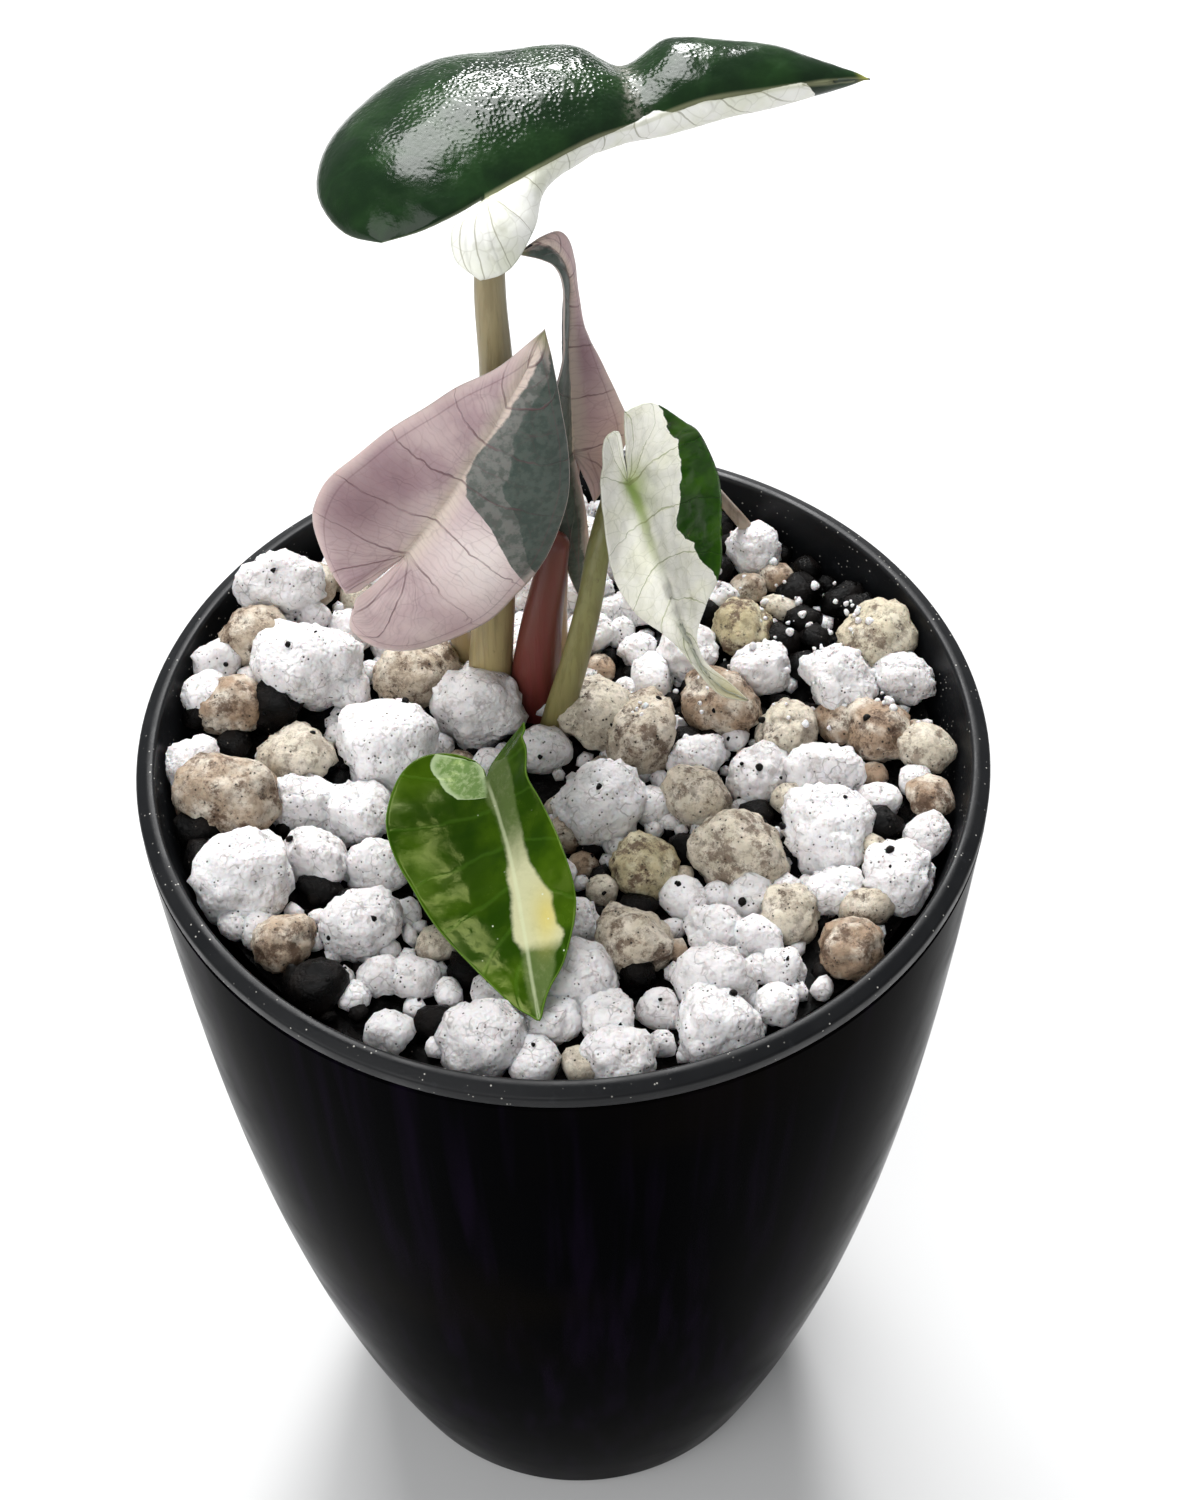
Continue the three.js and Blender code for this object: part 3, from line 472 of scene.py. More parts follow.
def sharpen(piece, degrees):
    """Marks the edges that turn more than an angle, so that smooth shading stops there."""
    def mark(solid):
        for edge in solid.edges:
            if edge.is_manifold and edge.calc_face_angle() > math.radians(degrees):
                edge.smooth = False
    rework(piece.data, mark)


def turns(count):
    """Angles that share a full turn."""
    return [2 * math.pi * k / count for k in range(count)]


def bands(rings, sides, first=0):
    """Faces that join each ring of points with the next."""
    faces = []
    for low in range(first, first + (rings - 1) * sides, sides):
        for k in range(sides):
            after = (k + 1) % sides
            faces.append((low + k, low + after, low + sides + after, low + sides + k))
    return faces


def rail(points, shares):
    """Points along a centripetal Catmull-Rom curve, at shares of its spans from 0 to 1."""
    knots = np.array(points, float)
    spans = len(knots) - 1
    padded = np.vstack([2 * knots[0] - knots[1], knots, 2 * knots[-1] - knots[-2]])
    along = np.clip(np.asarray(shares, float), 0, 1) * spans
    first = np.minimum(along.astype(int), spans - 1)
    weight = (along - first)[:, None]
    p0, p1, p2, p3 = (padded[first + k] for k in range(4))
    d0, d1, d2 = (np.sqrt(np.linalg.norm(b - a, axis=1))[:, None]
                  for a, b in ((p0, p1), (p1, p2), (p2, p3)))
    start = ((p1 - p0) / d0 - (p2 - p0) / (d0 + d1) + (p2 - p1) / d1) * d1
    end = ((p2 - p1) / d1 - (p3 - p1) / (d1 + d2) + (p3 - p2) / d2) * d1
    square = -3 * p1 + 3 * p2 - 2 * start - end
    cube = 2 * p1 - 2 * p2 + start + end
    return p1 + start * weight + square * weight**2 + cube * weight**3


def even_shares(points, count):
    """Shares that space count + 1 points evenly along the curve."""
    fine = np.linspace(0, 1, 400)
    line = rail(points, fine)
    length = np.concatenate([[0], np.cumsum(np.linalg.norm(np.diff(line, axis=0), axis=1))])
    return np.interp(np.linspace(0, length[-1], count + 1), length, fine)


def units(vectors):
    """The vectors at a length of one."""
    lengths = np.linalg.norm(vectors, axis=-1, keepdims=True)
    return vectors / np.maximum(lengths, 1e-9)


def smoothed(rows, reach):
    """Rows of vectors averaged with their neighbours, with a soft window."""
    window = np.hanning(2 * reach + 3)[1:-1]
    window /= window.sum()
    padded = np.pad(rows, ((reach, reach), (0, 0)), mode="edge")
    return np.stack([np.convolve(padded[:, k], window, mode="valid") for k in range(3)], axis=1)


def seeded(seed):
    """The part's own small random source."""
    state = seed
    while True:
        state = (state * 1664525 + 1013904223) % 2**32
        yield state / 2**32


# Helpers for materials


def colour(red, green, blue):
    """A shader colour from the usual 0 to 255 values."""
    def linear(value):
        share = value / 255
        return share / 12.92 if share <= 0.04045 else ((share + 0.055) / 1.055) ** 2.4
    return (linear(red), linear(green), linear(blue), 1)


class Finish:
    """A procedural material: each method adds nodes and returns their result."""

    def __init__(self, name, **settings):
        self.material = bpy.data.materials.new(name)
        self.material.use_nodes = True
        self.tree = self.material.node_tree
        self.shader = self.tree.nodes["Principled BSDF"]
        for socket, value in settings.items():
            self.shader.inputs[socket.replace("_", " ")].default_value = value
        self.place = self.tree.nodes.new("ShaderNodeTexCoord").outputs["Object"]

    def node(self, kind, inputs, **settings):
        made = self.tree.nodes.new(kind)
        for key, value in settings.items():
            setattr(made, key, value)
        for key, value in inputs.items():
            if isinstance(value, bpy.types.NodeSocket):
                self.tree.links.new(value, made.inputs[key])
            else:
                made.inputs[key].default_value = value
        return made

    def attribute(self, name):
        return self.node("ShaderNodeAttribute", {}, attribute_name=name).outputs["Fac"]

    def math(self, operation, first, second=0.0):
        made = self.node("ShaderNodeMath", {0: first, 1: second}, operation=operation)
        return made.outputs[0]

    def times(self, first, second):
        return self.math("MULTIPLY", first, second)

    def between(self, value, low, high, to_low=0.0, to_high=1.0):
        """A smooth step from one value to another as the input goes from low to high."""
        inputs = {"Value": value, "From Min": low, "From Max": high,
                  "To Min": to_low, "To Max": to_high}
        made = self.node("ShaderNodeMapRange", inputs, interpolation_type="SMOOTHSTEP")
        return made.outputs["Result"]

    def near(self, value, inner, outer):
        """A mask that fades out as the input goes from inner to outer."""
        return self.between(value, inner, outer, 1.0, 0.0)

    def mark(self, name, low, high, to_low=0.0, to_high=1.0):
        """A smooth step of a number that is stored on the mesh."""
        return self.between(self.attribute(name), low, high, to_low, to_high)

    def noise(self, size_mm, detail=3.0, roughness=0.55, stretch=(1, 1, 1)):
        place = self.node("ShaderNodeMapping", {"Vector": self.place, "Scale": stretch})
        inputs = {"Vector": place.outputs[0], "Scale": 1 / (size_mm * MM), "Detail": detail,
                  "Roughness": roughness}
        return self.node("ShaderNodeTexNoise", inputs).outputs["Fac"]

    def blotches(self, size_mm, low, high, detail=3.0, roughness=0.55, to=(0.0, 1.0),
                 stretch=(1, 1, 1)):
        """Noise of this size, stepped between its low and high values."""
        return self.between(self.noise(size_mm, detail, roughness, stretch), low, high, *to)

    def cells(self, size_mm, feature="F1", shift=0.0):
        """Distance in a field of cells: to the cell's middle, or to its edge."""
        place = self.place
        if shift:
            inputs = {"Vector": place, "Scale": 1 / (size_mm * 1.5 * MM), "Detail": 2.0}
            wander = self.node("ShaderNodeTexNoise", inputs).outputs["Color"]
            inputs = {0: wander, 1: (shift * MM,) * 3, 2: place}
            place = self.node("ShaderNodeVectorMath", inputs, operation="MULTIPLY_ADD").outputs[0]
        inputs = {"Vector": place, "Scale": 1 / (size_mm * MM)}
        return self.node("ShaderNodeTexVoronoi", inputs, feature=feature).outputs["Distance"]

    def dots(self, size_mm, inner, outer):
        """A mask of dots, one in each cell."""
        return self.near(self.cells(size_mm), inner, outer)

    def cracks(self, size_mm, shift, inner, outer):
        """A mask of the lines between wandering cells."""
        return self.near(self.cells(size_mm, "DISTANCE_TO_EDGE", shift), inner, outer)

    def mix(self, share, first, second):
        """Blends two colours, each a node's result or the usual 0 to 255 values."""
        first, second = (colour(*c) if isinstance(c, tuple) else c for c in (first, second))
        made = self.node("ShaderNodeMix", {0: share, 6: first, 7: second}, data_type="RGBA")
        return made.outputs[2]

    def coats(self, base, *coats):
        """A colour under coats of others. Each coat has a mask, its strength and its colour."""
        for mask, strength, tint in coats:
            share = mask if strength == 1 else self.times(mask, strength)
            base = self.mix(share, base, tint)
        return base

    def bump(self, height, depth_mm, strength=1.0, under=None):
        inputs = {"Height": height, "Distance": depth_mm * MM, "Strength": strength}
        if under is not None:
            inputs["Normal"] = under
        return self.node("ShaderNodeBump", inputs).outputs["Normal"]

    def wear(self, **sockets):
        """Links results to the shader's own sockets."""
        for socket, value in sockets.items():
            self.tree.links.new(value, self.shader.inputs[socket.replace("_", " ")])


# The pots


def outer_radius(z):
    """The outer pot's radius at a height."""
    depth = (RIM_Z - z) / RIM_Z
    return RIM_RADIUS - TAPER * depth - BELLY * depth**BELLY_POWER


def arc(centre, radius, start_degrees, end_degrees, steps=6):
    angles = np.radians(np.linspace(start_degrees, end_degrees, steps + 1))
    return [(centre[0] + radius * math.cos(a), centre[1] + radius * math.sin(a)) for a in angles]


def lathe(profile):
    """Points and faces of a closed body turned round the Z axis, from axis to axis."""
    points = []
    for radius, z in profile[1:-1]:
        points += [(radius * math.cos(a), radius * math.sin(a), z) for a in turns(POT_SIDES)]
    faces = bands(len(profile) - 2, POT_SIDES)
    middle = len(points)
    top = middle - POT_SIDES
    points += [(0, 0, profile[0][1]), (0, 0, profile[-1][1])]
    for k in range(POT_SIDES):
        after = (k + 1) % POT_SIDES
        faces.append((middle, after, k))
        faces.append((middle + 1, top + k, top + after))
    return points, faces


def pot_finish():
    look = Finish("pot_gloss", Specular_IOR_Level=0.0015)
    # Painted reflection: the faint purple streaks and broad brownish patches in the base colour
    # stand in for the pot's dim reflections, as its specular level is almost nil.
    streaks = look.blotches(3, 0.45, 0.75, 2.0, 0.5, stretch=(1, 1, 0.02))
    base = look.mix(streaks, (3, 3, 4), (12, 7, 18))
    base = look.mix(look.blotches(40, 0.5, 0.8, 2.0), base, (9, 7, 5))
    ripple = look.bump(look.noise(14, 2.0, 0.5, stretch=(1, 1, 0.15)), 0.12)
    look.wear(Base_Color=base, Normal=look.bump(look.noise(0.5, 2.0), 0.01, 0.3, ripple),
              Roughness=look.blotches(8, 0.3, 0.8, 4.0, to=(0.12, 0.24)))
    return look


def liner_finish():
    look = Finish("liner_satin", Specular_IOR_Level=0.2)
    scuffs = look.blotches(2.5, 0.58, 0.75, 5.0, 0.7)
    base = look.coats(
        look.mix(scuffs, (18, 19, 21), (32, 33, 36)),
        (look.dots(0.8, 0.08, 0.16), look.blotches(5, 0.46, 0.56), (168, 166, 160)))
    look.wear(Base_Color=base, Normal=look.bump(look.noise(0.35), 0.03, 0.5),
              Roughness=look.blotches(6, 0.3, 0.7, 4.0, to=(0.32, 0.5)))
    return look


def build_outer_pot():
    foot = outer_radius(0) - FOOT_ROUNDING
    shoulder = RIM_Z - RIM_ROUNDING
    rim_outside = RIM_RADIUS - RIM_ROUNDING
    rim_inside = RIM_RADIUS - OUTER_WALL + RIM_ROUNDING
    profile = [(0, 0)]
    profile += arc((foot, FOOT_ROUNDING), FOOT_ROUNDING, -90, -12)
    for z in np.linspace(FOOT_ROUNDING, shoulder, OUTSIDE_STEPS):
        profile.append((outer_radius(z), z))
    profile += arc((rim_outside, shoulder), RIM_ROUNDING, 0, 90)
    profile += arc((rim_inside, shoulder), RIM_ROUNDING, 90, 180)
    for z in np.linspace(shoulder, OUTER_FLOOR, INSIDE_STEPS)[1:]:
        profile.append((outer_radius(z) - OUTER_WALL, z))
    profile.append((0, OUTER_FLOOR))
    points, faces = lathe(profile)
    piece = make_piece("outer_pot_shell", points, faces, pot_finish(), "pot_gloss", ["outer_pot"])
    sharpen(piece, POT_EDGE_DEGREES)


def build_liner_pot():
    lip_inner = RIM_RADIUS - LIP_WIDTH
    lip_bottom = RIM_Z + GAP
    shoulder = POT_HEIGHT - LIP_ROUNDING
    crown = POT_HEIGHT + LIP_RISE
    floor_inside = LINER_FLOOR_Z + LINER_WALL
    foot = (LINER_FLOOR_RADIUS - LINER_ROUNDING, LINER_FLOOR_Z + LINER_ROUNDING)
    edge = (RIM_RADIUS - LIP_EDGE_ROUNDING, lip_bottom + LIP_EDGE_ROUNDING)
    profile = [(0, LINER_FLOOR_Z)]
    profile += arc(foot, LINER_ROUNDING, -90, -10)
    profile += [(LINER_TOP_RADIUS, LINER_NECK_Z), (LINER_TOP_RADIUS, lip_bottom),
                (RIM_RADIUS - LIP_EDGE_ROUNDING, lip_bottom)]
    profile += arc(edge, LIP_EDGE_ROUNDING, -90, 0, 3)
    profile += arc((RIM_RADIUS - LIP_ROUNDING, shoulder), LIP_ROUNDING, 0, 70)
    profile += [(RIM_RADIUS - CROWN_OUTER, crown - CROWN_DROP), (lip_inner + CROWN_INNER, crown)]
    profile += arc((lip_inner + LIP_ROUNDING, crown - LIP_ROUNDING), LIP_ROUNDING, 80, 180)
    for share in np.linspace(0, 1, NECK_STEPS)[1:]:
        radius = lip_inner - (lip_inner - LINER_TOP_RADIUS + LINER_WALL) * share
        profile.append((radius, shoulder + (LINER_NECK_Z - shoulder) * share))
    profile += [(LINER_FLOOR_RADIUS - LINER_WALL, floor_inside), (0, floor_inside)]
    points, faces = lathe(profile)
    piece = make_piece("liner_pot_shell", points, faces, liner_finish(), "liner_satin",
                       ["liner_pot"])
    drill(piece)
    sharpen(piece, POT_EDGE_DEGREES)


def drill(piece):
    """Cuts the ring of drain holes in the inner pot's floor, and clears the slivers it leaves."""
    radius = DRAIN_HOLE_RADIUS * MM
    for angle in turns(DRAIN_HOLES):
        place = Vector((math.cos(angle), math.sin(angle), 0)) * DRAIN_RING_RADIUS
        place.z = LINER_FLOOR_Z
        mesh = bpy.data.meshes.new("drill")
        rework(mesh, lambda solid: bmesh.ops.create_cone(
            solid, cap_ends=True, segments=DRAIN_HOLE_SIDES, radius1=radius, radius2=radius,
            depth=DRILL_LENGTH * MM, matrix=Matrix.Translation(place * MM)))
        bit = add_object("drill", mesh)
        cut = piece.modifiers.new("hole", "BOOLEAN")
        cut.operation = "DIFFERENCE"
        cut.solver = "EXACT"
        cut.object = bit
        bpy.context.view_layer.objects.active = piece
        bpy.ops.object.modifier_apply(modifier=cut.name)
        bpy.data.objects.remove(bit)
        bpy.data.meshes.remove(mesh)
    rework(piece.data, lambda solid: bmesh.ops.dissolve_degenerate(
        solid, dist=SLIVER * MM, edges=solid.edges))


# The bed


def bed_height(x, y):
    """The height of the mix: higher at the wall, and in a heap at the back left."""
    rise = BED_EDGE_RISE * (np.hypot(x, y) / BED_RADIUS) ** 2
    from_heap = np.hypot(x - HEAP_X, y - HEAP_Y) / HEAP_SPREAD
    return BED_Z + rise + HEAP_RISE * np.exp(-0.5 * from_heap**2)


def liner_inside(z):
    """The radius that is free inside the inner pot at a height."""
    floor_z = LINER_FLOOR_Z + LINER_WALL
    share = np.minimum(1, (z - floor_z) / (LINER_NECK_Z - floor_z))
    floor_radius = LINER_FLOOR_RADIUS - LINER_WALL
    return floor_radius + (LINER_TOP_RADIUS - LINER_WALL - floor_radius) * share - GAP


def thrown_place(draw, radius):
    """A random place in a circle."""
    angle = 2 * math.pi * next(draw)
    reach = radius * math.sqrt(next(draw))
    return reach * math.cos(angle), reach * math.sin(angle)


def fill_stones():
    """The smaller white stones, thrown into the gaps by the part's own seeded rule."""
    draw = seeded(FILL_SEED)
    placed = [*WHITE_STONES, *TAN_STONES, *BLACK_STONES]
    fill = []
    for _ in range(FILL_TRIES):
        a, b = thrown_place(draw, BED_RADIUS - FILL_MARGIN)
        radius = FILL_RADIUS + FILL_RADIUS_RANGE * next(draw)
        if all(math.hypot(a - x, b - y) > FILL_SPACING * (r + radius) for x, y, r in placed):
            placed.append((a, b, radius))
            fill.append((a, b, radius))
    return fill


def ball(level):
    """Points and faces of a unit sphere made of triangles."""
    solid = bmesh.new()
    bmesh.ops.create_icosphere(solid, subdivisions=level, radius=1)
    points = np.array([vertex.co for vertex in solid.verts])
    faces = [tuple(vertex.index for vertex in face.verts) for face in solid.faces]
    solid.free()
    return points, np.array(faces)


BALLS = {level: ball(level) for level in (1, 2, 3, 4)}


def knobbly(direction, seed, knob, grain):
    """How far a stone's surface stands out of a smooth one: rounded knobs, then finer grain."""
    place = Vector(direction) + Vector((seed * 7.3, seed * 3.1, seed * 5.7))
    near = noise.voronoi(place * 1.25)[0][0]
    fine = noise.voronoi(place * 3.4)[0][0]
    bumps = knob * (0.75 - near) + 0.5 * knob * (0.5 - fine)
    return bumps + grain * noise.fractal(place * 4.5, 0.8, 2.1, 3)


def chipped(sphere, seed, cut):
    """A rounded body with flat sides: how far it reaches in each direction."""
    draw = seeded(seed * 7919 + 17)
    total = np.full(len(sphere), (1 / ROUND_REACH) ** CHIP_SHARPNESS)
    for _ in range(CHIPS):
        height = 2 * next(draw) - 1
        turn = 2 * math.pi * next(draw)
        flat = math.sqrt(1 - height**2)
        facing = sphere @ np.array((flat * math.cos(turn), flat * math.sin(turn), height))
        offset = CHIP_REACH - cut * next(draw)
        total += (np.maximum(facing, 0) / offset) ** CHIP_SHARPNESS
    return total ** (-1 / CHIP_SHARPNESS)


def stone_tint(index, seed):
    """A number from 0 to 1 that looks random and is the same on each run."""
    return (math.sin(index * 12.9898 + seed) * 43758.5453) % 1


def stone_bodies(places, seed, level, cut, knob, grain):
    """All the stones of one kind in one set of points and faces, with a tint for each stone."""
    draw = seeded(seed)
    points, faces, tints, hollows = [], [], [], []
    count = 0
    for index, (x, y, radius) in enumerate(places):
        stretch = LEAST_STRETCH + STRETCH_RANGE * next(draw)
        turn = 2 * math.pi * next(draw)
        # The part's own stones take one draw for each corner
        for _ in range(FEW_CORNERS if radius < FINELY_CUT_FROM else MANY_CORNERS):
            next(draw)
        sphere, triangles = BALLS[level if radius > FINE_MESH_OVER else level - 1]
        reach = np.array([knobbly(p, index + seed, knob, grain) for p in sphere])
        chunk = chipped(sphere, index + seed, cut)
        body = sphere * (chunk + reach)[:, None] * radius * STONE_SWELL
        body *= (stretch, 1 / stretch, STONE_FLATTENING)
        around = np.array(((math.cos(turn), math.sin(turn)), (-math.sin(turn), math.cos(turn))))
        body[:, :2] = body[:, :2] @ around
        body += (x, y, bed_height(x, y) + STONE_SINK * radius)
        points.append(body)
        faces.append(triangles + count)
        count += len(body)
        tints.append(np.full(len(body), stone_tint(index, seed)))
        hollows.append(reach)
    return (np.vstack(points), np.vstack(faces).tolist(), np.concatenate(tints),
            np.concatenate(hollows))


def keep_inside(points):
    """Moves points that would pass the inner pot's wall back inside it."""
    neck = (LINER_NECK_Z, POT_HEIGHT)
    radii = (liner_inside(LINER_NECK_Z), RIM_RADIUS - LIP_WIDTH - GAP)
    wall = np.where(points[:, 2] < LINER_NECK_Z, liner_inside(points[:, 2]),
                    np.interp(points[:, 2], neck, radii))
    reach = np.hypot(points[:, 0], points[:, 1])
    pull = np.minimum(1, (wall - WALL_MARGIN) / np.maximum(reach, 1e-6))
    points[:, :2] *= pull[:, None]
    return points


def build_stones(name, places, seed, level, shape, finish, slot, replaced=()):
    points, faces, tints, hollows = stone_bodies(places, seed, level, *shape)
    piece = make_piece(name, keep_inside(points), faces, finish, slot, replaced)
    give(piece, "tint", tints)
    give(piece, "reach", hollows)


def perlite_finish():
    look = Finish("perlite", Roughness=0.85, Specular_IOR_Level=0.25, Subsurface_Weight=0.15,
                  Subsurface_Scale=0.001)
    patchy = look.blotches(2.4, 0.48, 0.62, to=(0.0, 0.5))
    base = look.coats(
        look.mix(look.attribute("tint"), (245, 243, 244), (228, 225, 225)),
        # Painted shade: the stones' hollows, where the reach is low, are darkened grey.
        (look.mark("reach", -0.2, 0.04, 1.0, 0.0), 0.4, (140, 132, 130)),
        (look.cracks(1.6, 2.4, 0.01, 0.09), patchy, (128, 120, 118)),
        (look.blotches(2.6, 0.53, 0.68, 6.0, 0.75), 0.45, (156, 144, 134)),
        (look.dots(0.7, 0.12, 0.24), look.blotches(1.6, 0.47, 0.56), (52, 44, 40)))
    rough = look.bump(look.noise(0.8, 6.0, 0.75), 0.45)
    pits = look.between(look.cells(0.7), 0.1, 0.7)
    look.wear(Base_Color=base, Normal=look.bump(pits, 0.16, 0.8, rough))
    return look


def pumice_finish():
    look = Finish("pumice", Roughness=0.6, Specular_IOR_Level=0.4, Subsurface_Weight=0.1,
                  Subsurface_Scale=0.001)
    tint = look.attribute("tint")
    yellow = look.between(look.math("FRACT", look.times(tint, 7.0)), 0.9, 0.94)
    mud = look.blotches(3.4, 0.49, 0.6, 8.0, 0.78)
    hollow = look.mark("reach", -0.16, 0.08, 1.0, 0.0)
    dirt = look.blotches(1.1, 0.45, 0.6, 6.0, 0.75)
    soil = look.math("MINIMUM", look.times(look.math("ADD", hollow, 0.35), dirt), 1.0)
    base = look.coats(
        look.mix(look.between(tint, 0.3, 0.8), (206, 197, 178), (160, 136, 112)),
        (look.blotches(3.0, 0.4, 0.7, 4.0), 1, (220, 211, 196)),
        (yellow, 0.5, (208, 202, 156)),
        (mud, look.between(tint, 0.1, 0.6, 0.45, 0.95), (92, 70, 52)),
        (soil, 1, (66, 46, 32)),
        (look.dots(0.7, 0.12, 0.26), look.between(dirt, 0.1, 0.6), (24, 18, 14)))
    look.wear(Base_Color=base, Normal=look.bump(look.noise(0.8, 6.0, 0.75), 0.35),
              Roughness=look.between(dirt, 0.0, 1.0, 0.42, 0.75))
    return look


def charcoal_finish():
    look = Finish("charcoal", Specular_IOR_Level=0.1)
    clouds = look.blotches(2.5, 0.4, 0.7, 4.0)
    base = look.coats(
        look.mix(clouds, (3, 3, 3), (17, 13, 11)),
        (look.dots(0.7, 0.04, 0.16), look.blotches(1.8, 0.55, 0.65, 2.0), (150, 142, 132)))
    look.wear(Base_Color=base, Normal=look.bump(look.noise(0.9, 5.0, 0.7), 0.4),
              Roughness=look.between(clouds, 0.0, 1.0, 0.22, 0.5))
    return look


def mix_body():
    """The mix that fills the inner pot: a closed body with a grainy top."""
    points = [(0, 0, float(bed_height(0, 0)))]
    for ring in range(1, MIX_RINGS + 1):
        radius = (BED_RADIUS - MIX_MARGIN) * ring / MIX_RINGS
        for angle in turns(MIX_SIDES):
            x, y = radius * math.cos(angle), radius * math.sin(angle)
            coarse = noise.voronoi(Vector((x, y, 3.3)) * 0.55)[0][0]
            fine = noise.voronoi(Vector((x, y, 8.1)) * 1.3)[0][0]
            grains = COARSE_GRAIN * (0.6 - coarse) + FINE_GRAIN * (0.5 - fine)
            points.append((x, y, float(bed_height(x, y) - MIX_DROP + grains)))
    floor_z = LINER_FLOOR_Z + LINER_WALL + GAP
    radius = float(liner_inside(floor_z))
    low = len(points)
    points += [(radius * math.cos(a), radius * math.sin(a), floor_z) for a in turns(MIX_SIDES)]
    points.append((0, 0, floor_z))
    faces = [(a, d, c, b) for a, b, c, d in bands(MIX_RINGS + 1, MIX_SIDES, first=1)]
    for k in range(MIX_SIDES):
        after = (k + 1) % MIX_SIDES
        faces.append((0, 1 + k, 1 + after))
        faces.append((low + MIX_SIDES, low + after, low + k))
    return points, faces


def dark_corner(x, y):
    """The back right, where black grit lies open."""
    return x > 8 and y > 4


def bright_side(x, y):
    """All but the far back right."""
    return not (x > 14 and y > 12)


def anywhere(x, y):
    return True


def scatter(placed, seed, tries, radii, keep):
    """Smaller stones thrown into the gaps that are left, added to the stones placed so far."""
    draw = seeded(seed)
    thrown = []
    for _ in range(tries):
        x, y = thrown_place(draw, BED_RADIUS - GRIT_MARGIN)
        radius = radii[0] + (radii[1] - radii[0]) * next(draw)
        if keep(x, y) and all(math.hypot(x - a, y - b) > GRIT_SPACING * (radius + r)
                              for a, b, r in placed):
            placed.append((x, y, radius))
            thrown.append((x, y, radius))
    return thrown


def surface_height(placed, x, y):
    """How high the stones, or the mix between them, stand at a place."""
    height = float(bed_height(x, y))
    for a, b, radius in placed:
        inside = radius**2 - (x - a) ** 2 - (y - b) ** 2
        if inside > 0:
            middle = float(bed_height(a, b)) + STONE_SINK * radius
            height = max(height, middle + STONE_FLATTENING * math.sqrt(inside))
    return height


def build_crumbs(name, placed, seed, count, finish, slot, keep):
    """Tiny crumbs that lie on the stones."""
    sphere, triangles = BALLS[2]
    draw = seeded(seed)
    points, faces = [], []
    while len(points) < count:
        x, y = thrown_place(draw, BED_RADIUS - CRUMB_MARGIN)
        radius = CRUMB_RADIUS + CRUMB_RADIUS_RANGE * next(draw) ** 2
        if keep(x, y):
            middle = (x, y, surface_height(placed, x, y) + CRUMB_LIFT * radius)
            chunk = chipped(sphere, seed + len(points), CRUMB_CUT)
            faces.append(triangles + len(points) * len(sphere))
            points.append(sphere * chunk[:, None] * radius + middle)
    piece = make_piece(name, np.vstack(points), np.vstack(faces).tolist(), finish, slot)
    give(piece, "tint", np.full(count * len(sphere), CRUMB_TINT))
    give(piece, "reach", np.zeros(count * len(sphere)))


def build_bed():
    charcoal, perlite, pumice = charcoal_finish(), perlite_finish(), pumice_finish()
    body = make_piece("mix_body", *mix_body(), charcoal, "charcoal", ["charcoal_mix"])
    sharpen(body, MIX_EDGE_DEGREES)
    whites = [*WHITE_STONES, *fill_stones()]
    build_stones("perlite_stones", whites, 11, 4, (0.34, 0.24, 0.1), perlite, "perlite",
                 ["perlite"])
    build_stones("pumice_stones", TAN_STONES, 23, 4, (0.26, 0.26, 0.07), pumice, "pumice",
                 ["pumice"])
    build_stones("charcoal_stones", BLACK_STONES, 37, 3, (0.42, 0.34, 0.14), charcoal, "charcoal")
    placed = [*whites, *TAN_STONES, *BLACK_STONES]
    for name, seed, level, finish, slot, tries, radii, keep in (
            ("charcoal_grit", 71, 3, charcoal, "charcoal", 1500, (1.1, 2.6), dark_corner),
            ("pumice_grit", 83, 3, pumice, "pumice", 120, (1.2, 2.4), anywhere),
            ("perlite_grit", 97, 3, perlite, "perlite", 900, (1.1, 2.8), bright_side),
            ("charcoal_bits", 101, 2, charcoal, "charcoal", 300, (0.9, 1.6), anywhere),
            ("perlite_bits", 113, 2, perlite, "perlite", 900, (0.7, 1.3), anywhere)):
        grit = scatter(placed, seed, tries, radii, keep)
        build_stones(name, grit, seed, level, GRIT_SHAPE, finish, slot)
    build_crumbs("white_crumbs", placed, 131, 260, perlite, "perlite", dark_corner)
    build_crumbs("black_crumbs", placed, 137, 160, charcoal, "charcoal", anywhere)


# The stems and the corm


def tube(line, foot, top):
    """Points and faces of a round stem with closed, rounded ends."""
    centres = rail(line, even_shares(line, STEM_RINGS))
    ahead = units(np.gradient(centres, axis=0))
    normal = units(np.cross(ahead[0], (0.3, 1, 0.2)))
    points = []
    for ring in range(STEM_RINGS + 1):
        normal = units(normal - ahead[ring] * np.dot(normal, ahead[ring]))
        binormal = np.cross(ahead[ring], normal)
        share = ring / STEM_RINGS
        radius = foot + (top - foot) * share
        into_end = max(0, share - 1 + STEM_END) / STEM_END
        radius *= math.sqrt(max(0.02, 1 - into_end**2))
        for angle in turns(STEM_SIDES):
            away = normal * math.cos(angle) + binormal * math.sin(angle)
            points.append(centres[ring] + radius * away)
    faces = bands(STEM_RINGS + 1, STEM_SIDES)
    faces.append(tuple(reversed(range(STEM_SIDES))))
    faces.append(tuple(range(STEM_RINGS * STEM_SIDES, len(points))))
    return points, faces


def stem_finish(name, low, high, dark, flecks):
    """Smooth stem skin: a colour at the foot, one at the top, lengthwise streaks and flecks."""
    look = Finish(name, Roughness=0.38, Specular_IOR_Level=0.4, Subsurface_Weight=0.12,
                  Subsurface_Scale=0.0015)
    streaks = look.blotches(0.8, 0.42, 0.68, 4.0, 0.6, stretch=(1, 1, 0.06))
    base = look.coats(
        look.mix(look.mark("share", 0.1, 0.9), low, high),
        (streaks, 0.55, dark),
        (look.blotches(0.9, 0.62, 0.72, 5.0, 0.7, stretch=(1, 1, 0.4)), flecks, (74, 44, 36)))
    look.wear(Base_Color=base, Normal=look.bump(streaks, 0.05, 0.6))
    return look


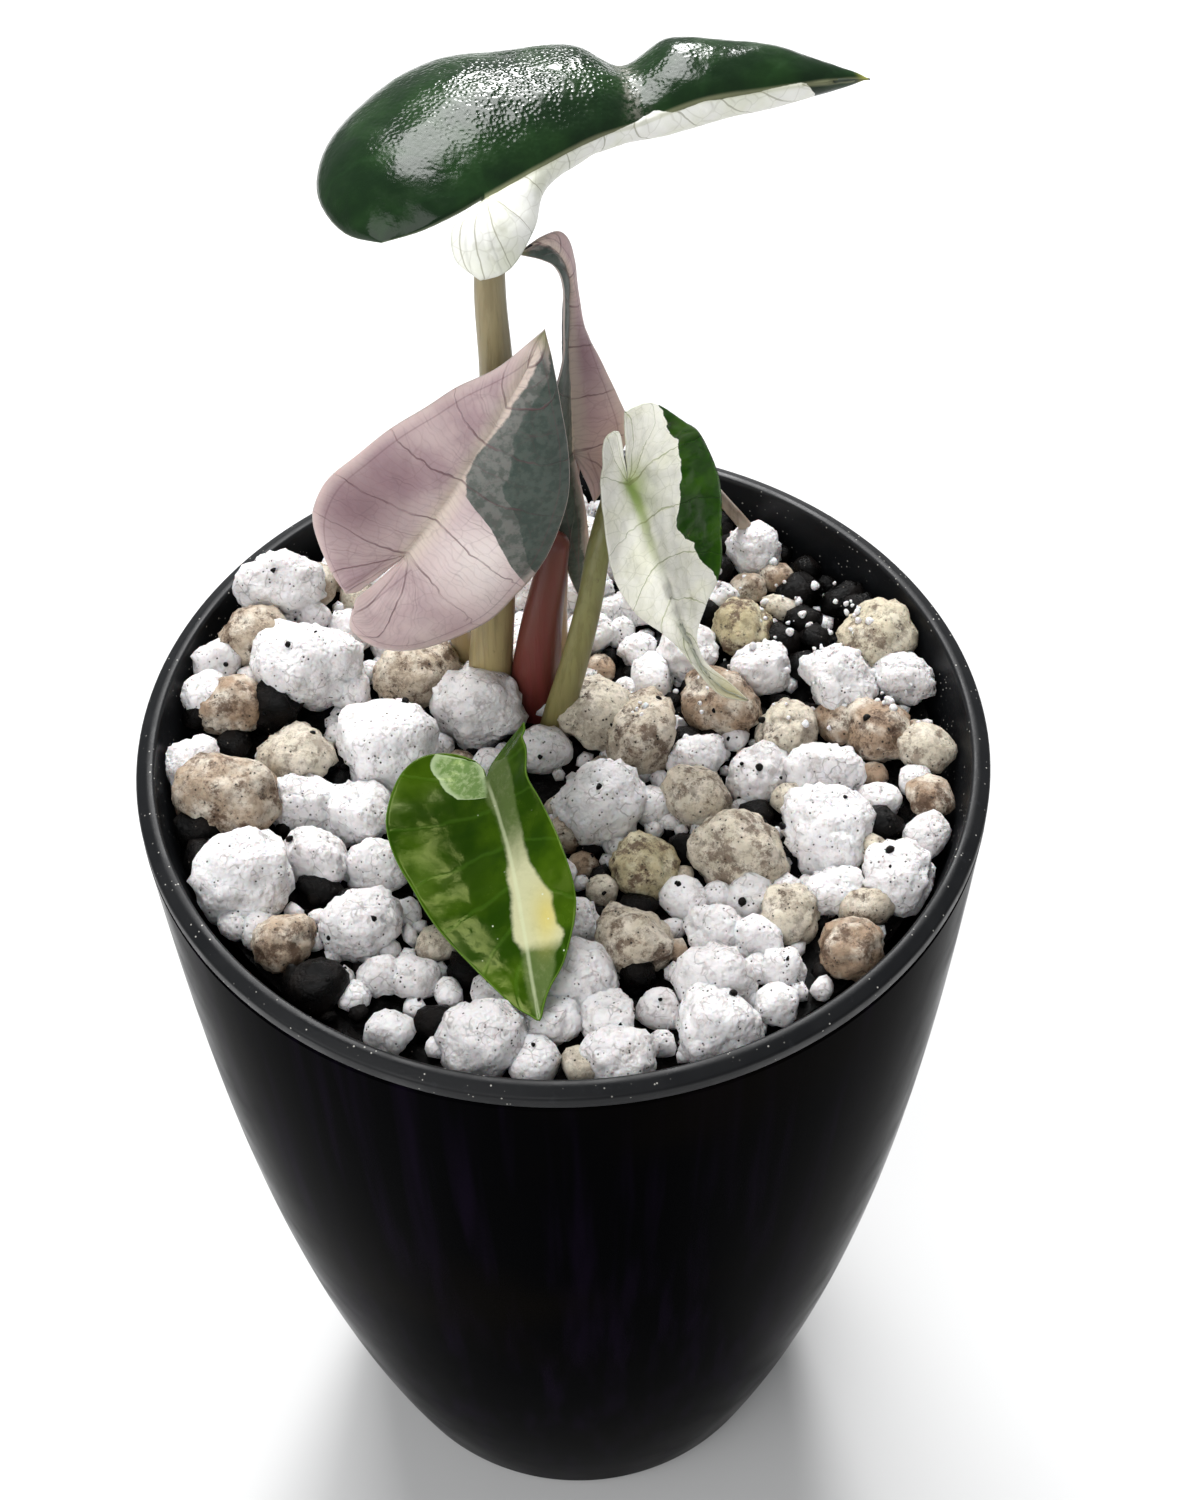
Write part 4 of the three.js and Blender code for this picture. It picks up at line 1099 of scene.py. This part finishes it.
def build_stems():
    for name, stem in STEMS.items():
        finish = stem_finish(name.replace("_leaf_stem", "_stem"), *stem["colours"], stem["flecks"])
        points, faces = tube(stem["line"], stem["foot"], stem["top"])
        piece = make_piece(f"{name}_skin", points, faces, finish, stem["slot"], [name])
        give(piece, "share", np.repeat(np.linspace(0, 1, STEM_RINGS + 1), STEM_SIDES))
        sharpen(piece, STEM_EDGE_DEGREES)


def dress_corm():
    """A bark for the corm, which stays as the part has it."""
    look = Finish("corm_bark", Roughness=0.9)
    bark = look.noise(2.0, 5.0, 0.7, stretch=(0.3, 0.3, 1.6))
    base = look.mix(look.between(bark, 0.35, 0.7), (70, 50, 34), (122, 92, 62))
    look.wear(Base_Color=base, Normal=look.bump(bark, 0.4))
    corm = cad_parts["corm"]
    corm.data.materials.clear()
    corm.data.materials.append(look.material)


# The leaves


def half_rows(leaf, half, side):
    """Points across one half of a blade, row by row from the lobe's end to the tip."""
    midrib = leaf["midrib"]
    margin = [half["notch"][0], *half["margin"], midrib[-1]]
    total = LOBE_ROWS + BLADE_ROWS
    lobe = np.arange(LOBE_ROWS) / LOBE_ROWS
    main = np.arange(BLADE_ROWS + 1) / BLADE_ROWS
    shoulder = half["shoulder"] / (len(margin) - 1)
    inner = np.vstack([rail([*half["notch"], midrib[0]], lobe), rail(midrib, main)])
    outer = rail(margin, np.concatenate([lobe * shoulder, shoulder + main * (1 - shoulder)]))
    reach = round(total / COARSE_ROWS)
    middle = inner + outer
    rows = np.arange(total + 1)
    along = middle[np.minimum(total, rows + reach)] - middle[np.maximum(0, rows - reach)]
    across = outer - inner
    width = np.linalg.norm(across, axis=1)
    up = units(smoothed(units(np.cross(along, across) * side), reach // 2))
    v = np.linspace(0, 1, BLADE_COLUMNS + 1)[None, :]
    wave = EDGE_WAVE * v * v * np.sin(2 * math.pi * EDGE_WAVES * (rows / total)[:, None])
    lift = width[:, None] * half["arch"] * 4 * v * (1 - v)
    lift = lift + wave * np.minimum(1, width / FULL_WAVE_WIDTH)[:, None]
    points = inner[:, None, :] + across[:, None, :] * v[..., None] + up[:, None, :] * lift[..., None]
    return points, width


def half_marks(leaf, half, side):
    """Each point's place on the leaf: the numbers that the leaf's material reads."""
    points, width = half_rows(leaf, half, side)
    rows = np.arange(len(points))[:, None]
    v = np.tile(np.linspace(0, 1, BLADE_COLUMNS + 1), (len(points), 1))
    t = rows / LOBE_ROWS * np.ones_like(v)
    s = (rows - LOBE_ROWS) / BLADE_ROWS * np.ones_like(v)
    in_lobe = t < 1
    angle = np.arctan2(v, np.maximum(1e-6, 1 - t)) / (math.pi / 2)
    phase = np.where(in_lobe, -LOBE_VEINS * (1 - angle), leaf["veins"] * s * (1 - VEIN_SWEEP * v))
    step_across = np.linalg.norm(np.gradient(points, axis=1), axis=2)
    step_along = np.linalg.norm(np.gradient(points, axis=0), axis=2)
    rate = np.hypot(np.gradient(phase, axis=1) / np.maximum(step_across, 0.02),
                    np.gradient(phase, axis=0) / np.maximum(step_along, 0.02))
    span = width[:, None] * np.ones_like(v)
    along = np.where(in_lobe, -LOBE_SPAN * (1 - t), s)
    from_junction = np.linalg.norm(points - np.array(leaf["midrib"][0], float), axis=2)
    marks = {
        "along": along,
        "across": side * v,
        "phase": phase,
        "rate": np.clip(rate, 0.02, 20),
        "from_rib": np.where(in_lobe, from_junction, v * span),
        "from_edge": np.where(in_lobe, np.minimum(v, 1 - v), 1 - v) * span,
    }
    for name, (low, high) in leaf["zones"].items():
        low_v = np.interp(along, *zip(*low))
        high_v = np.interp(along, *zip(*high))
        marks[name] = np.minimum(side * v - low_v, high_v - side * v) * span
    for name, (place, offset, length, breadth) in leaf["spots"].items():
        away = ((along - place) / length) ** 2 + ((side * v - offset) / breadth) ** 2
        marks[name] = np.exp(-away)
    return points, marks


def vertex_normals(points, faces):
    """The mean direction of the faces round each point."""
    normals = np.zeros_like(points)
    for corners in (faces[:, :3], faces[:, [0, 2, 3]]):
        a, b, c = (points[corners[:, k]] for k in range(3))
        normal = np.cross(b - a, c - a)
        for k in range(3):
            np.add.at(normals, corners[:, k], normal)
    return units(normals)


def leaf_sheet(leaf):
    """One layer of a blade: its points, its four-cornered faces and its marks."""
    points, marks, faces = [], {}, []
    offset = 0
    for half, side in ((leaf["left"], 1), (leaf["right"], -1)):
        grid, named = half_marks(leaf, half, side)
        for name, values in named.items():
            marks.setdefault(name, []).append(values.ravel())
        rows, columns = grid.shape[:2]
        index = offset + np.arange(rows * columns).reshape(rows, columns)
        corners = [index[:-1, :-1], index[1:, :-1], index[1:, 1:], index[:-1, 1:]]
        if side < 0:
            corners.reverse()
        faces.append(np.stack([corner.ravel() for corner in corners], axis=1))
        points.append(grid.reshape(-1, 3))
        offset += rows * columns
    # Points of the two halves that lie in the same place become one
    points = np.vstack(points)
    keys = np.round(points * MERGE_STEPS_PER_MM).astype(np.int64)
    _, first, index = np.unique(keys, axis=0, return_index=True, return_inverse=True)
    faces = index.reshape(-1)[np.vstack(faces)]
    marks = {name: np.concatenate(values)[first] for name, values in marks.items()}
    return points[first], faces, marks


def relief(leaf, points, marks):
    """How far the surface stands out, towards the leaf's shown face, in millimetres."""
    edge = np.clip(marks["from_edge"] / RELIEF_FADE, 0, 1)
    rib = np.clip(marks["from_rib"] / QUILT_FADE, 0, 1)
    quilt = leaf["quilt"] * (0.5 - 0.5 * np.cos(2 * math.pi * marks["phase"])) * edge * rib
    crumple = np.array([noise.fractal(Vector(point) * leaf["crumple_rate"], 0.9, 2.0, 4)
                        for point in points])
    crease = leaf["crease"] * np.exp(-(marks["from_rib"] / CREASE_WIDTH) ** 2)
    return quilt + leaf["crumple"] * crumple * (0.4 + 0.6 * edge) - crease


def closed_sheet(faces, count):
    """Faces of a closed body: both sides of a sheet, and the rim between them."""
    closed = []
    edges = {}
    for corners in faces.tolist():
        ring = list(dict.fromkeys(corners))
        if len(ring) < 3:
            continue
        closed.append(tuple(ring))
        closed.append(tuple(count + k for k in reversed(ring)))
        edges.update(dict.fromkeys(zip(ring, ring[1:] + ring[:1])))
    for start, end in edges:
        if (end, start) not in edges:
            closed.append((start, count + start, count + end, end))
    return closed


def build_leaf(name, leaf, finish):
    points, faces, marks = leaf_sheet(leaf)
    facing = leaf["facing"]
    normals = vertex_normals(points, faces)
    points = points + normals * (facing * relief(leaf, points, marks))[:, None]
    normals = vertex_normals(points, faces)
    thinning = 1 - EDGE_THINNING * np.exp(-marks["from_edge"] / THIN_EDGE_WIDTH)
    half = 0.5 * BLADE_THICKNESS * thinning
    rib = RIB_DEPTH * np.exp(-(marks["from_rib"] / RIB_WIDTH) ** 2) * np.clip(
        1 - marks["along"], 0, 1) * (marks["along"] >= 0)
    shown = points + normals * (facing * half)[:, None]
    hidden = points - normals * (facing * (half + rib))[:, None]
    top, bottom = (shown, hidden) if facing > 0 else (hidden, shown)
    count = len(points)
    piece = make_piece(f"{name}_blade", np.vstack([top, bottom]), closed_sheet(faces, count),
                       finish, leaf["slot"], [name])
    for mark, values in marks.items():
        give(piece, mark, np.concatenate([values, values]))
    under = np.concatenate([np.zeros(count), np.ones(count)])
    give(piece, "under", under if facing > 0 else 1 - under)


class LeafFinish(Finish):
    """The skin of a leaf, drawn by the marks that are stored on its mesh."""

    def veins(self, density, inner, outer, wobble=0.05):
        """The veins that run from the midrib to the margin, thinner towards the margin."""
        drift = self.times(self.math("SUBTRACT", self.noise(2.5, 2.0), 0.5), wobble * 4)
        phase = self.math("ADD", self.times(self.attribute("phase"), density), drift)
        off_line = self.math("ABSOLUTE", self.math("SUBTRACT", phase, self.math("ROUND", phase)))
        distance = self.math("DIVIDE", off_line, self.times(self.attribute("rate"), density))
        across = self.math("ABSOLUTE", self.attribute("across"))
        spread = self.math("ADD", 1.0, self.times(across, 0.8))
        return self.near(self.times(distance, spread), inner, outer)

    def edge(self, inner, outer):
        return self.near(self.attribute("from_edge"), inner, outer)

    def rib(self, inner, outer):
        return self.near(self.attribute("from_rib"), inner, outer)

    def zone(self, name, jag_mm, jag_size, softness):
        """Where a marking is, with a jagged outline."""
        jag = self.math("SUBTRACT", self.noise(jag_size, 4.0, 0.65), 0.5)
        value = self.math("ADD", self.attribute(name), self.times(jag, 2 * jag_mm))
        return self.between(value, -softness, softness)

    def skin(self, veins, vein_depth, grain_mm=0.5, grain_depth=0.04):
        """The fine relief of a blade: a grainy skin with the veins drawn into it."""
        grain = self.bump(self.noise(grain_mm, 3.0, 0.6), grain_depth, 0.6)
        ripple = self.bump(self.noise(2.5, 2.0), 0.12, 0.5, grain)
        return self.bump(veins, vein_depth, 0.6, ripple)


def top_leaf_finish():
    look = LeafFinish("top_leaf_skin", Specular_IOR_Level=0.28)
    veins = look.veins(1.0, 0.1, 0.6)
    crease = look.times(look.attribute("crease"), look.blotches(0.6, 0.4, 0.62, 4.0, 0.7))
    share = look.zone("cream", 0.12, 1.0, 0.05)
    green = look.coats(
        look.mix(look.blotches(6, 0.35, 0.7), (16, 37, 16), (26, 53, 21)),
        (veins, 0.1, (38, 72, 36)),
        (crease, 0.8, (124, 122, 112)))
    cream = look.coats(
        look.mix(look.blotches(5, 0.35, 0.7), (252, 252, 246), (238, 240, 222)),
        (look.veins(1.4, 0.04, 0.14), 0.55, (120, 116, 84)),
        (look.cracks(2.2, 1.2, 0.012, 0.045), 0.16, (134, 130, 98)))
    base = look.coats(
        look.mix(share, green, cream),
        (look.rib(0.1, 0.5), 0.35, (190, 190, 150)),
        (look.attribute("under"), 1, look.mix(share, (66, 74, 62), (206, 210, 188))),
        (look.mark("along", 0.95, 0.995), 1, (150, 150, 66)),
        (look.edge(0.05, 0.3), 0.35, (150, 160, 130)))
    shine = look.blotches(3, 0.4, 0.7, 4.0, 0.7, to=(0.14, 0.26))
    rough = look.math("ADD", shine, look.times(crease, 0.4))
    rough = look.math("ADD", rough, look.times(share, 0.2))
    pits = look.between(look.cells(0.55), 0.1, 0.7)
    beads = look.bump(look.times(pits, look.attribute("wet")), 0.09, 0.9)
    grain = look.bump(look.noise(0.5, 3.0, 0.6), 0.05, 0.5, beads)
    ripple = look.bump(look.noise(2.5, 2.0), 0.15, 0.5, grain)
    look.wear(Base_Color=base, Roughness=rough,
              Normal=look.bump(look.times(veins, share), 0.12, 0.5, ripple))
    return look


def pink_leaf_finish(name, face, deep, pale, underside):
    look = LeafFinish(name, Roughness=0.4, Specular_IOR_Level=0.36, Subsurface_Weight=0.06,
                      Subsurface_Scale=0.001)
    blotches = look.blotches(1.2, 0.42, 0.6, 4.0, 0.6)
    green = look.zone("green", 0.8, 2.0, 0.15)
    veins = look.veins(1.0, 0.05, 0.2)
    patchy = look.blotches(4, 0.35, 0.6, 2.0, to=(0.08, 0.5))
    from_line = look.math("ABSOLUTE", look.math("SUBTRACT", look.attribute("from_edge"), 1.5))
    edge = look.times(look.edge(0.3, 1.5), look.math("SUBTRACT", 1.0, green))
    base = look.coats(
        look.mix(look.blotches(7, 0.36, 0.66, 4.0), face, deep),
        (look.attribute("dark_patch"), 0.8, (116, 82, 92)),
        (look.attribute("pale_patch"), 0.9, pale),
        (look.rib(0.2, 2.2), 0.75, (216, 202, 186)),
        (look.veins(7.0, 0.0, 0.2, 0.5), 0.14, (120, 84, 92)),
        (look.zone("fringe", 0.5, 1.6, 0.15), 1,
         look.mix(blotches, (116, 117, 112), (86, 92, 86))),
        (green, 1, look.mix(blotches, (78, 88, 81), (62, 74, 67))),
        (veins, patchy, (96, 62, 68)),
        (look.veins(2.0, 0.03, 0.12, 0.12), look.times(patchy, 0.6), (100, 66, 72)),
        (look.cracks(2.0, 1.4, 0.012, 0.05), look.times(patchy, 0.3), (96, 64, 70)),
        (look.near(from_line, 0.04, 0.14), 0.32, (104, 70, 76)),
        (edge, 0.55, (216, 196, 190)),
        (look.mark("along", 0.9, 0.99), 1, (140, 138, 104)),
        (look.attribute("under"), 1, underside),
        (look.edge(0.02, 0.14), 1, (196, 184, 178)))
    look.wear(Base_Color=base, Normal=look.skin(veins, 0.09))
    return look


def white_leaf_finish():
    look = LeafFinish("white_leaf_skin", Specular_IOR_Level=0.25, Subsurface_Scale=0.003,
                      Subsurface_Radius=(1, 1, 0.8), Specular_Tint=(0.95, 1, 0.7, 1))
    veins = look.veins(1.0, 0.04, 0.16)
    patchy = look.blotches(4, 0.3, 0.6, 2.0, to=(0.25, 0.7))
    cream = look.coats(
        look.mix(look.blotches(4, 0.4, 0.7), (255, 254, 238), (244, 244, 220)),
        (look.rib(0.1, 1.1), look.mark("along", 0.05, 0.4, 0.75, 0.15), (150, 168, 96)),
        (look.attribute("heart"), 0.75, (126, 156, 60)),
        (veins, patchy, (130, 140, 84)),
        (look.cracks(2.0, 1.4, 0.012, 0.05), look.times(patchy, 0.3), (140, 146, 100)),
        (look.veins(5.0, 0.0, 0.12, 0.5), 0.12, (150, 160, 104)),
        (look.mark("along", 0.7, 0.95), 1, (176, 170, 134)),
        # Painted shade: the curled lobe is greyed where its fold lies in shade.
        (look.attribute("curl_shade"), 0.2, (190, 194, 180)))
    green = look.mix(look.blotches(5, 0.4, 0.65), (20, 58, 1), (40, 84, 2))
    share = look.zone("green", 0.35, 1.4, 0.04)
    under = look.mix(share, (190, 194, 172), (56, 84, 44))
    base = look.mix(look.attribute("under"), look.mix(share, cream, green), under)
    look.wear(Base_Color=base, Roughness=look.between(share, 0.0, 1.0, 0.42, 0.2),
              Normal=look.skin(veins, 0.12, 0.6, 0.06),
              Subsurface_Weight=look.between(share, 0.0, 1.0, 0.42, 0.04))
    return look


def front_leaf_finish():
    look = LeafFinish("front_leaf_skin", Specular_IOR_Level=0.2, Specular_Tint=(0.9, 1, 0.3, 1))
    along = look.attribute("along")
    veins = look.veins(1.0, 0.08, 0.5)
    green = look.coats(
        look.mix(look.blotches(6, 0.36, 0.66), (30, 58, 2), (56, 84, 6)),
        (look.attribute("deep"), 0.7, (14, 42, 2)),
        (veins, 0.14, (84, 126, 40)))
    patch = look.coats(
        look.mix(look.blotches(0.8, 0.45, 0.62, 4.0, 0.7), (106, 134, 76), (146, 166, 116)),
        (look.near(look.attribute("patch"), 0.2, 1.0), 1, (166, 184, 142)))
    middle = look.times(look.between(along, 0.2, 0.42), look.near(along, 0.66, 0.72))
    ragged = look.math("SUBTRACT", look.noise(0.9, 4.0, 0.7), 0.5)
    middle = look.math("ADD", middle, look.times(ragged, 0.5))
    sector = look.coats(
        look.mix(middle, (80, 98, 52), (190, 190, 152)),
        (look.attribute("yellow"), 0.75, (196, 180, 92)))
    base = look.coats(
        green,
        (look.zone("patch", 0.3, 1.4, 0.1), 1, patch),
        (look.zone("sector", 0.3, 1.2, 0.3), 1, sector),
        (look.times(look.rib(0.08, 0.4), look.between(along, 0.0, 0.08)), 0.4, (206, 214, 176)),
        (look.dots(1.6, 0.03, 0.09), look.blotches(3.0, 0.52, 0.6, 2.0), (206, 214, 190)),
        (look.attribute("under"), 1, (98, 132, 70)),
        (look.edge(0.02, 0.14), 1, (84, 116, 40)))
    look.wear(Base_Color=base, Normal=look.skin(veins, 0.03, 0.5, 0.03),
              Roughness=look.blotches(3, 0.35, 0.7, 4.0, to=(0.16, 0.3)))
    return look


def build_leaves():
    finishes = {
        "top_leaf": top_leaf_finish(),
        "pink_leaf": pink_leaf_finish("pink_leaf_skin", (212, 192, 190), (184, 158, 162),
                                      (248, 236, 232), (40, 26, 35)),
        "back_leaf": pink_leaf_finish("back_leaf_skin", (214, 188, 189), (192, 162, 167),
                                      (196, 168, 164), (50, 44, 48)),
        "white_leaf": white_leaf_finish(),
        "front_leaf": front_leaf_finish(),
    }
    for name, leaf in LEAVES.items():
        build_leaf(name, leaf | LOOKS[name], finishes[name])


# Camera, light and floor


def build_camera():
    data = bpy.data.cameras.new("camera")
    data.lens = CAMERA_LENS
    data.sensor_width = CAMERA_SENSOR
    data.clip_start, data.clip_end = CAMERA_CLIP
    camera = add_object("camera", data)
    ahead = Vector((0, math.cos(CAMERA_DIP), -math.sin(CAMERA_DIP)))
    up = Vector((0, math.sin(CAMERA_DIP), math.cos(CAMERA_DIP)))
    right = Vector((1, 0, 0))
    across = math.cos(CAMERA_ROLL) * right + math.sin(CAMERA_ROLL) * up
    upright = math.cos(CAMERA_ROLL) * up - math.sin(CAMERA_ROLL) * right
    turn = Matrix((across, upright, -ahead)).transposed().to_4x4()
    camera.matrix_world = Matrix.Translation(Vector(CAMERA_PLACE) * MM) @ turn
    bpy.context.scene.camera = camera


def build_light(name, place, size, power):
    data = bpy.data.lights.new(name, "AREA")
    data.size = size
    data.energy = power
    light = add_object(name, data)
    light.location = place
    light.rotation_euler = (Vector(LIGHT_AIM) - Vector(place)).to_track_quat("-Z", "Y").to_euler()


def build_stage():
    look = Finish("floor", Roughness=0.9, Specular_IOR_Level=0.1)
    look.shader.inputs["Base Color"].default_value = FLOOR_COLOUR
    mesh = bpy.data.meshes.new("floor")
    half = FLOOR_HALF
    mesh.from_pydata([(-half, -half, 0), (half, -half, 0), (half, half, 0), (-half, half, 0)],
                     [], [(0, 1, 2, 3)])
    mesh.materials.append(look.material)
    floor = add_object("floor", mesh)
    world = bpy.data.worlds.new("studio")
    bpy.context.scene.world = world
    world.use_nodes = True
    world.node_tree.nodes["Background"].inputs["Color"].default_value = WORLD_COLOUR
    world.node_tree.nodes["Background"].inputs["Strength"].default_value = WORLD_STRENGTH
    for name, settings in LIGHTS.items():
        build_light(name, *settings)
    bpy.context.scene.view_settings.view_transform = "Standard"


build_camera()
build_stage()
build_outer_pot()
build_liner_pot()
build_bed()
build_stems()
build_leaves()
dress_corm()
